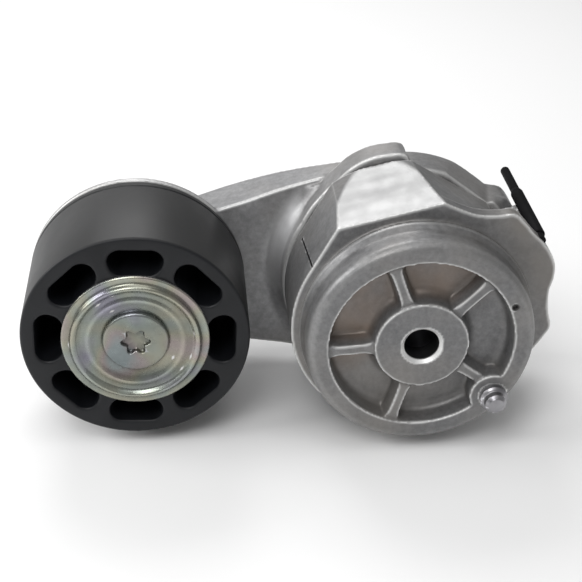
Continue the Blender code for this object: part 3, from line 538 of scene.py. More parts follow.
case_dark, case_light = (0.148, 0.148, 0.151), (0.236, 0.236, 0.238)
# The case's stain colour, also used for the painted shade in its corners and the painted warm reflection on its
# pocket and ear.
case_stain_and_painted_light = (0.25, 0.234, 0.215)
# Tint of the painted warm reflection.
warm_reflection_tint = (0.96, 0.81, 0.72)
upper_left, ear_side, top_flat_out = (-0.5, 0.0, 0.87), (0.87, 0.0, 0.5), (-0.225, -0.15, 0.974)
# Colours of the painted shade in the bore, the parting line and the rim mark.
bore_shade_colour, seam_shade_colour, pit_shade_colour = (0.030, 0.030, 0.032), (0.025, 0.025, 0.026), (0.05, 0.048, 0.046)
seam_start = on_circle(49.5 * MM, seam_front_heading, seam_front)
seam_end = on_circle(49.5 * MM, seam_rear_heading, seam_rear)
seam_across = tuple((seam_end - seam_start).cross(on_circle(1.0, 148.6)).normalized())
seam_place = Vector(seam_across).dot((seam_start + seam_end) / 2)
seam_half, seam_dark = 0.62 * MM, 0.34 * MM
seam_side = (-0.85, 0.0, 0.52)


def case_painted_light(work, skin):
    """Painted warm reflection in the upper pocket and on the ear, and painted highlight in drawn-out bands on
    the top flat.
    """
    cloud = work.ramp(work.noise(45.0, 4.0), (0.3, 0.35), (0.65, 1.0))
    # Painted warm reflection on the upper pocket.
    pocket_warm_reflection = work.overlap(
        work.towards(REARWARD, 3.0 * MM, 7.5 * MM),
        work.fade(work.reach(), pocket_radius + 0.5 * MM, pocket_radius - 0.5 * MM),
        work.towards(upper_left, -2.0 * MM, 14.0 * MM),
        cloud,
    )
    skin = work.mix(pocket_warm_reflection, skin, tuple(c * k for c, k in zip(case_stain_and_painted_light, warm_reflection_tint)))
    # Painted warm reflection on the ear.
    ear_warm_reflection = work.overlap(work.towards(ear_side, 40.0 * MM, 54.0 * MM), cloud)
    skin = work.mix(ear_warm_reflection, skin, shade(case_stain_and_painted_light, 0.8))
    drawn_out = work.stretched((0.1, 1.0, 0.1))
    # Painted highlight in drawn-out bands on the top flat.
    top_flat_highlight = work.ramp(work.noise(62.0, 2.0, 0.5, drawn_out), (0.36, 0.29), (0.64, 0.46))
    return work.mix(work.towards(top_flat_out, 46.45 * MM, 46.8 * MM), skin, top_flat_highlight)


def case_painted_shade(work, finish):
    """Painted shade down the bore, in the parting line and in the small mark on the rim."""
    # Painted shade down the bore.
    bore_shade = work.overlap(
        work.towards(REARWARD, 0.9 * MM, 2.0 * MM),
        work.fade(work.reach(), 7.4 * MM, 7.1 * MM),
    )
    finish = work.mix(bore_shade, finish, bore_shade_colour)
    # Painted shade along the parting line's groove.
    seam_shade = work.overlap(
        work.towards(seam_across, seam_place - seam_half, seam_place - seam_dark),
        work.towards(seam_across, seam_place + seam_half, seam_place + seam_dark),
        work.towards(REARWARD, 17.9 * MM, 18.6 * MM),
        work.towards(REARWARD, 47.3 * MM, 46.6 * MM),
        work.towards(seam_side, 46.0 * MM, 47.0 * MM),
    )
    finish = work.mix(seam_shade, finish, seam_shade_colour)
    # Painted shade in the small mark on the rim.
    pit_shade = work.overlap(
        work.fade(work.reach(mark_at.x, mark_at.z), 2.0 * MM, 1.3 * MM),
        work.towards(REARWARD, 4.0 * MM, 3.0 * MM),
    )
    return work.mix(pit_shade, finish, pit_shade_colour)


case_metal = cast_metal("cast_case", case_dark, case_light, case_stain_and_painted_light, case_painted_light, case_painted_shade)
fitted(case, case_metal, "base", "cast_aluminium", "base_housing")

# Locating dowel: a hardened steel pin pressed into a boss on the rim, with a stout collar at its root
# and a slimmer, chamfered end that leads it into the bracket.
dowel = turned("dowel", eased([
    (0.0, -7.5 * MM, 0.0), (3.0 * MM, -7.5 * MM, 0.3 * MM), (4.3 * MM, -6.2 * MM, 0.4 * MM),
    (4.3 * MM, -3.6 * MM, 0.3 * MM), (4.9 * MM, -3.2 * MM, 0.2 * MM), (5.6 * MM, -2.5 * MM, 0.4 * MM),
    (5.6 * MM, -0.3 * MM, 0.1 * MM), (5.0 * MM, -0.3 * MM, 0.0), (5.0 * MM, 7.4 * MM, 0.0),
    (4.4 * MM, 8.0 * MM, 0.0), (0.0, 8.0 * MM, 0.0),
], 4), 72, (dowel_at.x, dowel_at.z))
smooth(dowel, 35)


def turned_steel(name, dark, light, rough_low, rough_high):
    """Turned or ground steel with fine tool rings along its axis."""
    work = Nodes(name)
    rings = work.noise(160.0, 3.0, 0.6, work.stretched((1.0, 26.0, 1.0)))
    tone = work.ramp(work.noise(130.0, 4.0), (0.3, dark), (0.7, light))
    worn = work.mix(work.edges(0.52, 0.62), tone, shade(light, 1.9, 0.8))
    work.link(worn, work.shader.inputs["Base Color"])
    work.shader.inputs["Metallic"].default_value = 1.0
    work.link(work.ramp(rings, (0.3, rough_low), (0.7, rough_high)), work.shader.inputs["Roughness"])
    work.bump(rings, strength=0.12, distance=0.0002)
    return work.material


dowel_steel = turned_steel("dowel_steel", (0.27, 0.265, 0.28), (0.4, 0.395, 0.41), 0.26, 0.38)
fitted(dowel, dowel_steel, "base", "bearing_steel", "locating_pin")

# Pivot post and its bearings: a hollow steel post stands in the case and the arm turns on it in a nylon
# bush, between two acetal thrust washers. The post's rear end is swaged over the back plate.
post = turned("pivot_post", eased([
    (7.2 * MM, 10.3 * MM, 0.0), (10.9 * MM, 10.3 * MM, 0.0), (11.7 * MM, 11.1 * MM, 0.0),
    (11.7 * MM, 73.0 * MM, 0.0), (9.5 * MM, 73.0 * MM, 0.0), (9.5 * MM, 76.1 * MM, 0.0),
    (10.7 * MM, 76.1 * MM, 0.2 * MM), (10.2 * MM, 77.2 * MM, 0.5 * MM), (7.8 * MM, 77.2 * MM, 0.3 * MM),
    (7.2 * MM, 76.6 * MM, 0.2 * MM),
], 3), steps=96)
smooth(post, 35)
# The post's steel is painted very dark, as painted shade down the bore.
post_steel_painted_shade = turned_steel("post_steel_painted_shade", (0.06, 0.06, 0.065), (0.11, 0.11, 0.118), 0.4, 0.55)
fitted(post, post_steel_painted_shade, "base", "bearing_steel", "pivot_shaft")


def moulded(name, dark, light, rough_low, rough_high, grain, gloss=0.5, painted_light=None):
    """Moulded plastic or rubber: faint mottle, dulled patches and a fine moulded grain."""
    work = Nodes(name)
    tone = work.ramp(work.noise(70.0, 4.0), (0.3, dark), (0.7, light))
    if painted_light:
        tone = painted_light(work, tone)
    rubbed = tuple(min(c * 1.9 + 0.01, 0.9) for c in light)
    work.link(work.mix(work.edges(0.52, 0.66), tone, rubbed), work.shader.inputs["Base Color"])
    work.shader.inputs["Specular IOR Level"].default_value = gloss
    rough = work.ramp(work.noise(45.0, 5.0, 0.6), (0.3, rough_low), (0.7, rough_high))
    work.link(rough, work.shader.inputs["Roughness"])
    work.bump(work.noise(grain, 3.0), strength=0.15, distance=0.0002)
    return work.material


def dressed(node, finish):
    """A CAD piece that stays as it is and takes a finish."""
    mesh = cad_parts[node].data
    mesh.materials.clear()
    mesh.materials.append(finish)


acetal = moulded("washer_acetal", (0.66, 0.64, 0.57), (0.76, 0.74, 0.67), 0.4, 0.55, grain=900.0)
dressed("front_thrust_washer", acetal)
dressed("rear_thrust_washer", acetal)
bush_nylon = moulded("bush_nylon", (0.020, 0.021, 0.023), (0.035, 0.036, 0.04), 0.4, 0.56, grain=1100.0)
dressed("pivot_bushing", bush_nylon)

# Torsion spring and damper band: one round phosphated wire pushes the arm towards the belt, and an open
# nylon band in the arm's cup rubs on the case wall to calm it. Both sit closed in between the castings.
wire_radius = 3.2 * MM
wire_turns = [math.tau * i / 14 for i in range(14)]
coil_radius = 33.0 * MM
coil_turns = 4.6
coil_front = 18.0 * MM
coil_rear = 60.5 * MM
coil_steps = 184
coil_rings = []
for k in range(coil_steps + 1):
    heading = 360.0 * coil_turns * k / coil_steps
    y = coil_front + (coil_rear - coil_front) * k / coil_steps
    out = on_circle(1.0, heading)
    coil_rings.append([
        on_circle(coil_radius, heading, y) + out * wire_radius * math.cos(turn)
        + Vector((0.0, wire_radius * math.sin(turn), 0.0))
        for turn in wire_turns
    ])
coil = drawn("coil_spring", coil_rings)
smooth(coil, 40)
coil.data.materials.clear()
coil.data.materials.append(turned_steel("spring_wire", (0.07, 0.07, 0.075), (0.13, 0.13, 0.135), 0.34, 0.5))
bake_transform(coil)
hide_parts("torsion_spring")
damper_nylon = moulded("damper_nylon", (0.024, 0.025, 0.028), (0.04, 0.041, 0.045), 0.45, 0.6, grain=800.0)
dressed("damper_band", damper_nylon)

# Swing arm: die-cast aluminium in one piece, a cup that closes the spring case, a broad limb behind the
# pulley and the post that the bearing sits on. A lug and a raised band on the cup carry the stop.
arm_length = 111.3 * MM
cup_front = 54.0 * MM
cup_rear = 73.0 * MM
cup_radius = 50.8 * MM
cup_bore = 44.0 * MM
cup_floor = 64.0 * MM
cup_flat_heading = 52.0
cup_flat_front, cup_flat_rear = 47.7 * MM, 50.2 * MM
lug_depth = 12.5 * MM
lug_edge = (
    (146.0, 50.9), (139.0, 51.8), (133.0, 52.4), (127.0, 53.3), (122.0, 54.0), (114.0, 56.2),
    (107.0, 57.3), (101.0, 57.6), (92.5, 57.3), (89.5, 55.5), (88.0, 50.5),
)
lug_root, lug_root_headings = 46.0 * MM, (88.0, 102.0, 117.0, 132.0, 146.0)
band_start = ((44.0, 49.0), (40.0, 52.3), (36.5, 54.5), (33.0, 55.0))
band_radius = 55.0 * MM
stop_radius, stop_root = 60.5 * MM, 53.0 * MM
pin_clearance = 2.9 * MM
limb_front = 65.0 * MM
limb_rear = 86.0 * MM
limb_end_radius = 30.0 * MM
limb_leave, limb_return = 53.0, 68.0
limb_upper = (
    (75.2, 30.0), (65.2, 33.0), (56.8, 36.0), (48.4, 38.7), (39.3, 41.1), (30.1, 43.3), (22.0, 45.1),
    (8.5, 47.8),
)
limb_lower = (
    (75.2, 33.0), (63.4, 35.3), (53.2, 37.1), (47.4, 38.3), (33.4, 41.5), (22.0, 44.0), (8.5, 47.5),
)
ramp_start, ramp_low = -66.0 * MM, 71.1 * MM
shroud_radius = 44.8 * MM
shroud_front, shroud_rear, shroud_edge = 64.6 * MM, 67.6 * MM, 0.8 * MM
cove_radius = 9.0 * MM
skirt_inside, skirt_rear = 48.8 * MM, 67.0 * MM
arm_grain = 0.65 * MM
sleeve_bore = 14.5 * MM
sleeve_radius = 19.0 * MM
plate_seat, plate_room = 25.8 * MM, 32.0 * MM

arm = turned("swing_arm", eased([
    (0.0, cup_front, 0.0), (cup_radius, cup_front, 1.4 * MM), (cup_radius, cup_rear, 2.6 * MM),
    (0.0, cup_rear, 0.0),
]), round_steps)
flat_out, flat_side = on_circle(1.0, cup_flat_heading), on_circle(1.0, cup_flat_heading + 90.0)


def flat_corner(i, j, k):
    """A corner of the block that planes the flat on the cup."""
    near = cup_flat_front if k < 0 else cup_flat_rear
    reach = near if i < 0 else 75.0 * MM
    return flat_out * reach + flat_side * 40.0 * MM * j + Vector((0.0, (52.0 if k < 0 else 75.0) * MM, 0.0))


worked(arm, block("cup_flat", flat_corner), "DIFFERENCE")
lug_path = flowing([on_circle(reach * MM, heading) for heading, reach in lug_edge], curve_steps)
lug_path += [on_circle(lug_root, heading) for heading in lug_root_headings]
worked(arm, slab("lug", lug_path, cup_front, cup_front + lug_depth), "UNION")
band_path = flowing([on_circle(reach * MM, heading) for heading, reach in band_start], 5)
band_path += [on_circle(band_radius, 31.0 - 2.2 * k) for k in range(24)]
band_path += [on_circle(49.0 * MM, -27.0)]
band_path += [on_circle(45.6 * MM, -27.0 + 8.9 * k) for k in range(9)]
band_lip = [p * min(1.0, (cup_radius - 0.3 * MM) / p.length) for p in band_path]
worked(arm, drawn("stop_band", [
    [p + Vector((0.0, y, 0.0)) for p in path]
    for path, y in ((band_lip, 54.4 * MM), (band_path, 61.0 * MM), (band_path, 72.4 * MM))
]), "UNION")
stop_face = pin_heading - math.degrees(math.asin(pin_clearance / pin_reach))
stop_path = [on_circle(stop_radius, stop_face - 13.0 * k / 6) for k in range(7)]
stop_path += [on_circle(stop_root, stop_face - 15.0), on_circle(stop_root, stop_face)]
worked(arm, slab("stop_lug", stop_path, cup_front + 0.8 * MM, cup_front + 6.3 * MM), "UNION")

limb_turn = 360.0 - limb_leave - limb_return
limb_end = [on_circle(limb_end_radius, limb_leave + limb_turn * k / 60, 0.0, -arm_length) for k in range(61)]
limb_top = flowing([limb_end[0]] + [Vector((-x * MM, 0.0, z * MM)) for x, z in limb_upper], curve_steps)
limb_low = flowing([limb_end[-1]] + [Vector((-x * MM, 0.0, -z * MM)) for x, z in limb_lower], curve_steps)
limb_path = limb_end + limb_low[1:] + limb_top[:0:-1]
limb = slab("limb", limb_path, limb_front, limb_rear)
only(limb)
bpy.ops.object.mode_set(mode="EDIT")
bpy.ops.mesh.select_mode(type="EDGE")
bpy.ops.mesh.select_all(action="DESELECT")
bpy.ops.mesh.edges_select_sharp(sharpness=math.radians(60))
bpy.ops.mesh.bevel(offset=0.8 * MM, segments=3, profile=0.5)
bpy.ops.mesh.select_mode(type="VERT")
bpy.ops.object.mode_set(mode="OBJECT")


def ramp_corner(i, j, k):
    """A corner of the block that planes the limb's back down to the cup."""
    x, y = (ramp_start, limb_rear) if i < 0 else (0.0, ramp_low)
    return Vector((x, limb_rear + 10.0 * MM if k > 0 else y, 75.0 * MM * j))


worked(limb, block("limb_ramp", ramp_corner), "DIFFERENCE")
worked(arm, limb, "UNION")
shroud = turned("shroud", eased([
    (0.0, shroud_front, 0.0), (shroud_radius, shroud_front, shroud_edge),
    (shroud_radius, shroud_rear, shroud_edge), (0.0, shroud_rear, 0.0),
]), round_steps, (-arm_length, 0.0))
worked(arm, shroud, "UNION")

skirt_profile = [(skirt_inside, skirt_rear), (skirt_inside, 55.0 * MM)]
for degrees in range(0, 91, 6):
    turn = math.radians(degrees)
    skirt_profile.append((
        cup_radius - 0.2 * MM + cove_radius * (1 - math.cos(turn)),
        limb_front + 0.3 * MM - cove_radius * (1 - math.sin(turn)),
    ))
skirt_profile += [(cup_radius + 8.8 * MM, skirt_rear)]
skirt = turned("skirt", skirt_profile, round_steps)
slim_path = [Vector((p.x, 0.0, p.z * 0.95)) for p in limb_path]
worked(skirt, slab("skirt_keep", slim_path, 52.0 * MM, 68.0 * MM), "INTERSECT")
worked(arm, skirt, "UNION")
as_cast(arm, arm_grain)

machined(arm, rod("cup_room", cup_bore, 50.0 * MM, cup_floor, (0.0, 0.0), steps=128))
machined(arm, rod("sleeve", sleeve_radius, 22.5 * MM, 66.0 * MM, (0.0, 0.0), steps=96), "UNION")
machined(arm, turned("sleeve_room", [
    (0.0, 20.0 * MM), (sleeve_bore, 20.0 * MM), (sleeve_bore, 70.0 * MM), (plate_seat, 70.0 * MM),
    (plate_seat, cup_rear), (plate_room, cup_rear), (plate_room, 92.0 * MM), (0.0, 92.0 * MM),
], steps=128))
arm_post = turned("arm_post", [
    (0.0, 24.5 * MM), (7.6 * MM, 24.5 * MM), (8.2 * MM, 25.1 * MM), (8.2 * MM, 42.3 * MM),
    (12.3 * MM, 42.3 * MM), (12.3 * MM, 46.1 * MM), (13.8 * MM, 46.1 * MM), (14.8 * MM, 62.0 * MM),
    (17.8 * MM, 66.0 * MM), (17.8 * MM, 67.0 * MM), (0.0, 67.0 * MM),
], 96, (-arm_length, 0.0))
machined(arm, arm_post, "UNION")
machined(arm, rod("bolt_thread", 5.3 * MM, 23.0 * MM, 70.0 * MM, (-arm_length, 0.0), steps=48))
deburred(arm)

arm_dark, arm_light = (0.215, 0.215, 0.219), (0.325, 0.325, 0.329)
# The arm's stain colour, also used for the painted shade in its corners.
arm_stain_and_shade = (0.26, 0.247, 0.234)


def arm_painted_highlight(work, skin):
    """The cove between the limb and the cup, made brighter as painted highlight."""
    from_pivot = work.reach()
    cove_highlight = work.overlap(
        work.fade(from_pivot, 50.4 * MM, 51.2 * MM),
        work.fade(from_pivot, 60.0 * MM, 54.5 * MM),
        work.towards((-1.0, 0.0, 0.0), 41.0 * MM, 46.0 * MM),
        work.towards(REARWARD, 65.6 * MM, 64.4 * MM),
        work.towards((0.0, 0.0, 1.0), -12.0 * MM, 18.0 * MM),
    )
    # Painted highlight on the cove.
    return work.mix(cove_highlight, skin, shade(arm_light, 2.1))


arm_metal = cast_metal("cast_arm", arm_dark, arm_light, arm_stain_and_shade, arm_painted_highlight)
fitted(arm, arm_metal, "arm", "cast_aluminium", "arm_casting")

# Back plate: a pressed and zinc-plated steel disc behind the arm, with a coined step, held by the
# swaged end of the post.
plate = turned("back_plate", eased([
    (9.8 * MM, 73.3 * MM, 0.0), (30.0 * MM, 73.3 * MM, 0.2 * MM), (30.0 * MM, 75.0 * MM, 0.7 * MM),
    (25.0 * MM, 75.0 * MM, 0.6 * MM), (23.6 * MM, 75.8 * MM, 0.6 * MM), (12.6 * MM, 75.8 * MM, 0.3 * MM),
    (12.2 * MM, 75.5 * MM, 0.1 * MM), (9.8 * MM, 75.5 * MM, 0.0),
], 4), steps=128)
smooth(plate, 35)


def zinc(name, dark, light, tints, rough_low, rough_high, painted_light=None):
    """Zinc plate under a thin passivation, whose film shows straw, rose and green clouds."""
    work = Nodes(name)
    tone = work.ramp(work.noise(85.0, 5.0, 0.6), (0.3, dark), (0.7, light))
    film = work.ramp(work.noise(52.0, 1.5), *tints)
    tinted = work.mix(0.75, tone, film, "OVERLAY")
    if painted_light:
        tinted = painted_light(work, tinted)
    # Painted shade: darker down in the corners that pointiness finds.
    zinc_corner_shade = work.mix(work.corners(0.40, 0.485), tinted, shade(dark, 0.3))
    worn = work.mix(work.edges(0.52, 0.62), zinc_corner_shade, shade(light, 1.6, 0.85))
    work.link(worn, work.shader.inputs["Base Color"])
    work.shader.inputs["Metallic"].default_value = 0.85
    rough = work.ramp(work.noise(260.0, 4.0), (0.3, rough_low), (0.7, rough_high))
    work.link(rough, work.shader.inputs["Roughness"])
    work.bump(work.noise(900.0, 2.0), strength=0.08, distance=0.0002)
    return work.material


plate_dark, plate_light = (0.34, 0.34, 0.33), (0.45, 0.45, 0.44)
straw_film = (
    (0.30, (0.45, 0.44, 0.55)), (0.42, (0.47, 0.53, 0.46)), (0.52, (0.56, 0.54, 0.40)),
    (0.62, (0.57, 0.47, 0.45)), (0.72, (0.44, 0.51, 0.51)),
)
plate_zinc = zinc("plate_zinc", plate_dark, plate_light, straw_film, 0.26, 0.38)
fitted(plate, plate_zinc, "base", "zinc_plate", "end_plate")

# Release pin: a stepped black-oxide rod pushed into the ear from behind. It holds the arm back until
# the belt is on, and then it is pulled out.
pin = turned("release_pin", eased([
    (0.0, 19.6 * MM, 0.0), (1.4 * MM, 19.6 * MM, 0.0), (1.8 * MM, 20.0 * MM, 0.0), (1.8 * MM, 24.3 * MM, 0.0),
    (2.3 * MM, 24.3 * MM, 0.0), (2.6 * MM, 24.9 * MM, 0.2 * MM), (2.6 * MM, 61.8 * MM, 0.6 * MM),
    (1.95 * MM, 64.4 * MM, 0.5 * MM), (1.95 * MM, 84.6 * MM, 0.6 * MM), (1.2 * MM, 85.8 * MM, 0.3 * MM),
    (0.0, 86.0 * MM, 0.0),
], 3), 48, (pin_at.x, pin_at.z))
smooth(pin, 35)
oxide_dark, oxide_light = (0.003, 0.003, 0.003), (0.007, 0.007, 0.008)
pin_black = moulded("pin_black", oxide_dark, oxide_light, 0.55, 0.7, grain=700.0, gloss=0.05)
fitted(pin, pin_black, "lock", "black_oxide", "lock_pin")

# Bearing: a sealed single-row ball bearing on the arm's post, with a turned spacer in front of its inner
# ring and a pressed shield behind it. It is all inside the pulley.
ball_count = 8
ground = turned_steel("bearing_ground", (0.38, 0.38, 0.39), (0.48, 0.48, 0.49), 0.16, 0.28)
for node in ("bearing_inner_ring", "bearing_outer_ring", "clamp_spacer"):
    dressed(node, ground)
ball_finish = turned_steel("ball_polish", (0.50, 0.50, 0.51), (0.58, 0.58, 0.59), 0.08, 0.16)
for k in range(ball_count):
    dressed(f"ball_{k + 1}", ball_finish)
cage_acetal = moulded("cage_acetal", (0.62, 0.6, 0.53), (0.72, 0.7, 0.62), 0.42, 0.56, grain=900.0)
dressed("bearing_cage", cage_acetal)
seal_rubber = moulded("seal_rubber_face", (0.042, 0.026, 0.022), (0.06, 0.038, 0.032), 0.6, 0.75, grain=1300.0)
dressed("seal_front", seal_rubber)
dressed("seal_rear", seal_rubber)
dressed("rear_shield", zinc("shield_zinc", plate_dark, plate_light, straw_film, 0.28, 0.4))

# Idler pulley: a smooth wheel moulded in black glass-filled nylon round the bearing, with eight deep
# oval pockets in its front that keep the walls even. A thin groove runs near its rear edge.
wheel_radius = 45.0 * MM
wheel_front = 13.8 * MM
wheel_rear = 62.8 * MM
groove_radius = wheel_radius - 0.5 * MM
bearing_seat, seat_lip = 23.8 * MM, 21.5 * MM
slot_headings = [87.0 + 45.0 * k for k in range(8)]
slot_reach = 34.3 * MM
slot_half_out, slot_half_round, slot_corner = 5.4 * MM, 10.5 * MM, 5.1 * MM
slot_floor, slot_taper = 44.8 * MM, -0.5 * MM
slot_mouth = 1.3 * MM
wheel_dark, wheel_light = (0.004, 0.0046, 0.006), (0.0065, 0.0073, 0.0095)
# Grey of the painted sheen on the running face.
belt_sheen_grey = (0.022, 0.0222, 0.0228)

wheel = turned("idler_pulley", eased([
    (wheel_radius, wheel_front, 1.2 * MM), (wheel_radius, 58.6 * MM, 0.15 * MM),
    (groove_radius, 59.0 * MM, 0.1 * MM), (groove_radius, 59.7 * MM, 0.1 * MM),
    (wheel_radius, 60.1 * MM, 0.15 * MM), (wheel_radius, wheel_rear, 0.9 * MM),
    (38.0 * MM, wheel_rear, 0.5 * MM), (37.2 * MM, 48.0 * MM, 1.0 * MM), (29.6 * MM, 48.0 * MM, 0.3 * MM),
    (29.6 * MM, 44.1 * MM, 0.0), (seat_lip, 44.1 * MM, 0.0), (seat_lip, 42.3 * MM, 0.0),
    (bearing_seat, 42.3 * MM, 0.0), (bearing_seat, 22.7 * MM, 0.0), (seat_lip, 22.7 * MM, 0.0),
    (seat_lip, 20.1 * MM, 0.3 * MM), (26.2 * MM, 19.3 * MM, 0.4 * MM), (26.6 * MM, wheel_front, 0.5 * MM),
], 4), 192, (-arm_length, 0.0))


def slot_ring(heading, grow, y):
    """One ring of an oval pocket that follows the rim, grown a little towards its mouth."""
    half_out, half_round, corner = slot_half_out + grow, slot_half_round + grow, slot_corner + grow
    ring = []
    for sx, sz, start in ((1, 1, 0), (-1, 1, 90), (-1, -1, 180), (1, -1, 270)):
        for i in range(9):
            turn = math.radians(start + 90.0 * i / 8)
            u = sx * (half_round - corner) + corner * math.cos(turn)
            v = sz * (half_out - corner) + corner * math.sin(turn)
            ring.append(on_circle(slot_reach + v, heading - math.degrees(u / slot_reach), y, -arm_length))
    return ring


for heading in slot_headings:
    rings = [slot_ring(heading, slot_taper, slot_floor), slot_ring(heading, 0.0, 16.0 * MM)]
    for degrees in (30.0, 50.0, 70.0, 90.0):
        turn = math.radians(degrees)
        grow = slot_mouth * (1 - math.cos(turn))
        rings.append(slot_ring(heading, grow, wheel_front + slot_mouth * (1 - math.sin(turn))))
    rings.append(slot_ring(heading, slot_mouth, wheel_front - 2.0 * MM))
    worked(wheel, drawn("slot", rings), "DIFFERENCE")
smooth(wheel, 32)


def painted_belt_sheen(work, tone):
    """The running face, painted a lighter grey in streaks as painted sheen."""
    on_face = work.fade(work.reach(-arm_length), wheel_radius - 0.4 * MM, wheel_radius - 0.1 * MM)
    streaks = work.ramp(work.noise(90.0, 3.0), (0.3, shade(belt_sheen_grey, 0.8)), (0.7, belt_sheen_grey))
    # Painted sheen on the running face.
    return work.mix(on_face, tone, streaks)


wheel_nylon = moulded("wheel_nylon", wheel_dark, wheel_light, 0.4, 0.52, 1200.0, 0.36, painted_belt_sheen)
fitted(wheel, wheel_nylon, "pulley_wheel", "black_nylon", "pulley")

# Bearing cover: a cap pressed from zinc-plated sheet, dished under the bolt head and stiffened by two
# rolled ridges. The bolt clamps it, and it stands still while the wheel turns.
sheet = 0.9 * MM
cover_hole = 5.3 * MM
dish_radius, dish_floor = 13.06 * MM, 15.4 * MM
cover_section = (
    (13.06, 13.35), (14.2, 13.0), (15.4, 12.65), (16.6, 12.25), (17.6, 11.8), (18.4, 11.45), (19.1, 11.4),
    (19.9, 11.65), (20.8, 11.95), (21.9, 12.0), (22.7, 11.7), (23.4, 11.0), (24.1, 10.45), (24.8, 10.4),
    (25.4, 10.9), (25.9, 11.7), (26.6, 12.2), (27.6, 12.35), (28.5, 12.4), (29.0, 12.8),
)
# Distance from the bolt's axis, and how bright the plate is painted there: painted highlight on the ridges,
# painted shade in the hollows.
ridge_light_and_shade = (
    (13.1, 0.52), (14.0, 0.69), (17.2, 0.69), (18.7, 0.98), (20.0, 0.70), (22.2, 0.66), (23.5, 1.0),
    (25.0, 1.0), (25.9, 0.58), (27.0, 0.78), (28.7, 0.95),
)
ring_spread = 32.0 * MM

cover_curve = flowing([Vector((r, y)) for r, y in cover_section], 4)
cover_line = [(cover_hole, dish_floor), (dish_radius, dish_floor)] + [(p.x * MM, p.y * MM) for p in cover_curve]
cover_back = [(r, y + sheet) for r, y in reversed(cover_line)]
cover = turned("bearing_cover", cover_line + cover_back, 144, (-arm_length, 0.0))
smooth(cover, 40)


def painted_ridge_light(work, plated):
    """Ridges painted bright as painted highlight and hollows painted dull as painted shade, in rings about the
    bolt.
    """
    share = work.sums("DIVIDE", work.reach(-arm_length), ring_spread)
    # Painted highlight on the ridges and painted shade in the hollows.
    ridge_light = work.ramp(share, *((reach * MM / ring_spread, shine) for reach, shine in ridge_light_and_shade))
    return work.mix(1.0, plated, ridge_light, "MULTIPLY")


cover_dark, cover_light = (0.28, 0.28, 0.279), (0.39, 0.39, 0.386)
cover_zinc = zinc("cover_zinc", cover_dark, cover_light, straw_film, 0.21, 0.33, painted_ridge_light)
fitted(cover, cover_zinc, "arm", "zinc_plate", "dust_cover")

# Cover bolt: a zinc-plated bolt with a low round head and a six-lobe drive, threaded into the arm's
# post. The drive recess is cold forged.
drive_radius = 5.9 * MM
bolt_headings = [5.0 * k for k in range(72)]
# How far each ring of the drive is grown and its place, then the radius and place of each ring outside it.
drive_levels = (
    (-3.4, 13.8), (-0.6, 13.5), (-0.3, 13.2), (-0.15, 12.0), (0.0, 11.7), (0.25, 11.5), (0.5, 11.5),
    (0.9, 11.5),
)
head_levels = (
    (7.4, 11.5), (9.4, 11.5), (11.7, 11.5), (12.2, 11.58), (12.6, 11.82), (12.9, 12.2), (13.0, 12.7),
    (13.0, 14.7), (12.6, 15.1), (5.0, 15.1), (5.0, 67.0), (4.0, 68.0),
)


def lobe_ring(grow, y):
    """A six-lobed ring round the bolt's axis, grown by some distance."""
    ring = []
    for heading in bolt_headings:
        reach = drive_radius * (0.85 + 0.15 * math.cos(math.radians(6 * heading))) + grow
        ring.append(on_circle(reach, heading, y, -arm_length))
    return ring


bolt_rings = [lobe_ring(grow * MM, y * MM) for grow, y in drive_levels]
for reach, y in head_levels:
    bolt_rings.append([on_circle(reach * MM, heading, y * MM, -arm_length) for heading in bolt_headings])
bolt = drawn("cover_bolt", bolt_rings)
smooth(bolt, 28)
bolt_zinc = zinc("bolt_zinc", (0.19, 0.196, 0.2), (0.28, 0.286, 0.29), straw_film, 0.24, 0.36)
fitted(bolt, bolt_zinc, "arm", "zinc_plate", "pulley_bolt")

# Studio: a pale paper floor under the part, five soft boxes (behind, above, left, over the camera and
# low at the back), a dim white surround, and the camera where the photograph was taken from.
floor_level = cad_box[0][2] - 0.2 * MM
bpy.ops.object.select_all(action="DESELECT")
bpy.ops.mesh.primitive_plane_add(size=40.0, location=(0.0, 0.0, floor_level))
floor = bpy.context.object
floor.name = "studio_floor"
paper = Nodes("floor_paper")
paper.shader.inputs["Base Color"].default_value = (0.92, 0.92, 0.92, 1.0)
paper.shader.inputs["Roughness"].default_value = 0.9
paper.shader.inputs["Specular IOR Level"].default_value = 0.0
floor.data.materials.append(paper.material)

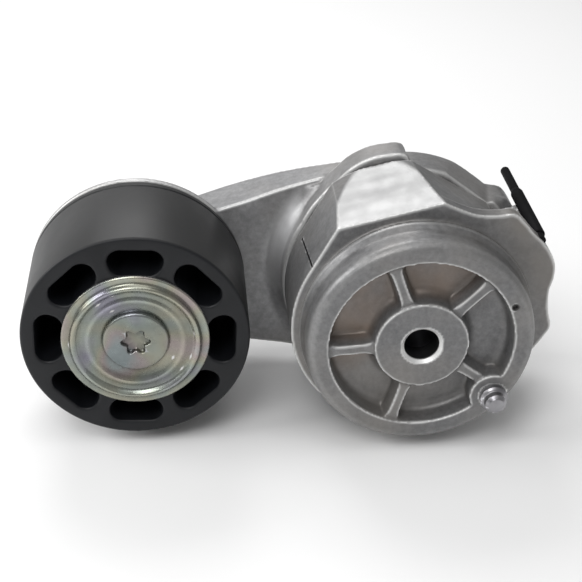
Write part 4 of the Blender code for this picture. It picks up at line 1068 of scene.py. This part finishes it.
world = bpy.data.worlds.new("studio_air")
bpy.context.scene.world = world
world.use_nodes = True
background = world.node_tree.nodes["Background"]
background.inputs["Color"].default_value = (1.0, 1.0, 1.0, 1.0)
background.inputs["Strength"].default_value = 0.32

lamp_aim = Vector((-0.05, 0.04, 0.0))


def lamp(name, place, width, height, power):
    """A rectangular soft box that looks at the part."""
    bpy.ops.object.light_add(type="AREA", location=place)
    light = bpy.context.object
    light.name = name
    light.data.shape = "RECTANGLE"
    light.data.size = width
    light.data.size_y = height
    light.data.energy = power
    light.rotation_euler = (Vector(place) - lamp_aim).to_track_quat("Z", "Y").to_euler()


lamp("key_box", (-0.18, 0.66, 0.74), width=0.6, height=0.36, power=3.8)
lamp("top_box", (0.03, -0.25, 1.05), width=0.6, height=0.65, power=2.1)
lamp("left_box", (-0.98, 0.0, 0.56), width=0.6, height=0.55, power=5.8)
lamp("fill_box", (-0.36, -0.58, 0.84), width=0.45, height=0.45, power=3.6)
lamp("back_card", (-0.85, 1.25, 0.25), width=1.0, height=0.5, power=1.3)

camera_turn, camera_tilt = math.radians(-4.60), math.radians(30.46)
camera_place = (-84.8 * MM, -416.9 * MM, 273.3 * MM)
film_width = 36.0
picture_pixels, focal_pixels = 582.0, 1291.0
bpy.ops.object.camera_add()
camera = bpy.context.object
camera.name = "photo_camera"
level = math.cos(camera_tilt)
back = Vector((math.sin(camera_turn) * level, -math.cos(camera_turn) * level, math.sin(camera_tilt)))
across = Vector((math.cos(camera_turn), math.sin(camera_turn), 0.0))
upward = back.cross(across)
camera.matrix_world = Matrix((
    (across.x, upward.x, back.x, camera_place[0]),
    (across.y, upward.y, back.y, camera_place[1]),
    (across.z, upward.z, back.z, camera_place[2]),
    (0.0, 0.0, 0.0, 1.0),
))
camera.data.sensor_width = film_width
camera.data.lens = film_width * focal_pixels / picture_pixels
camera.data.clip_start = 0.01
camera.data.clip_end = 50.0
bpy.context.scene.camera = camera
bpy.context.scene.view_settings.view_transform = "Standard"
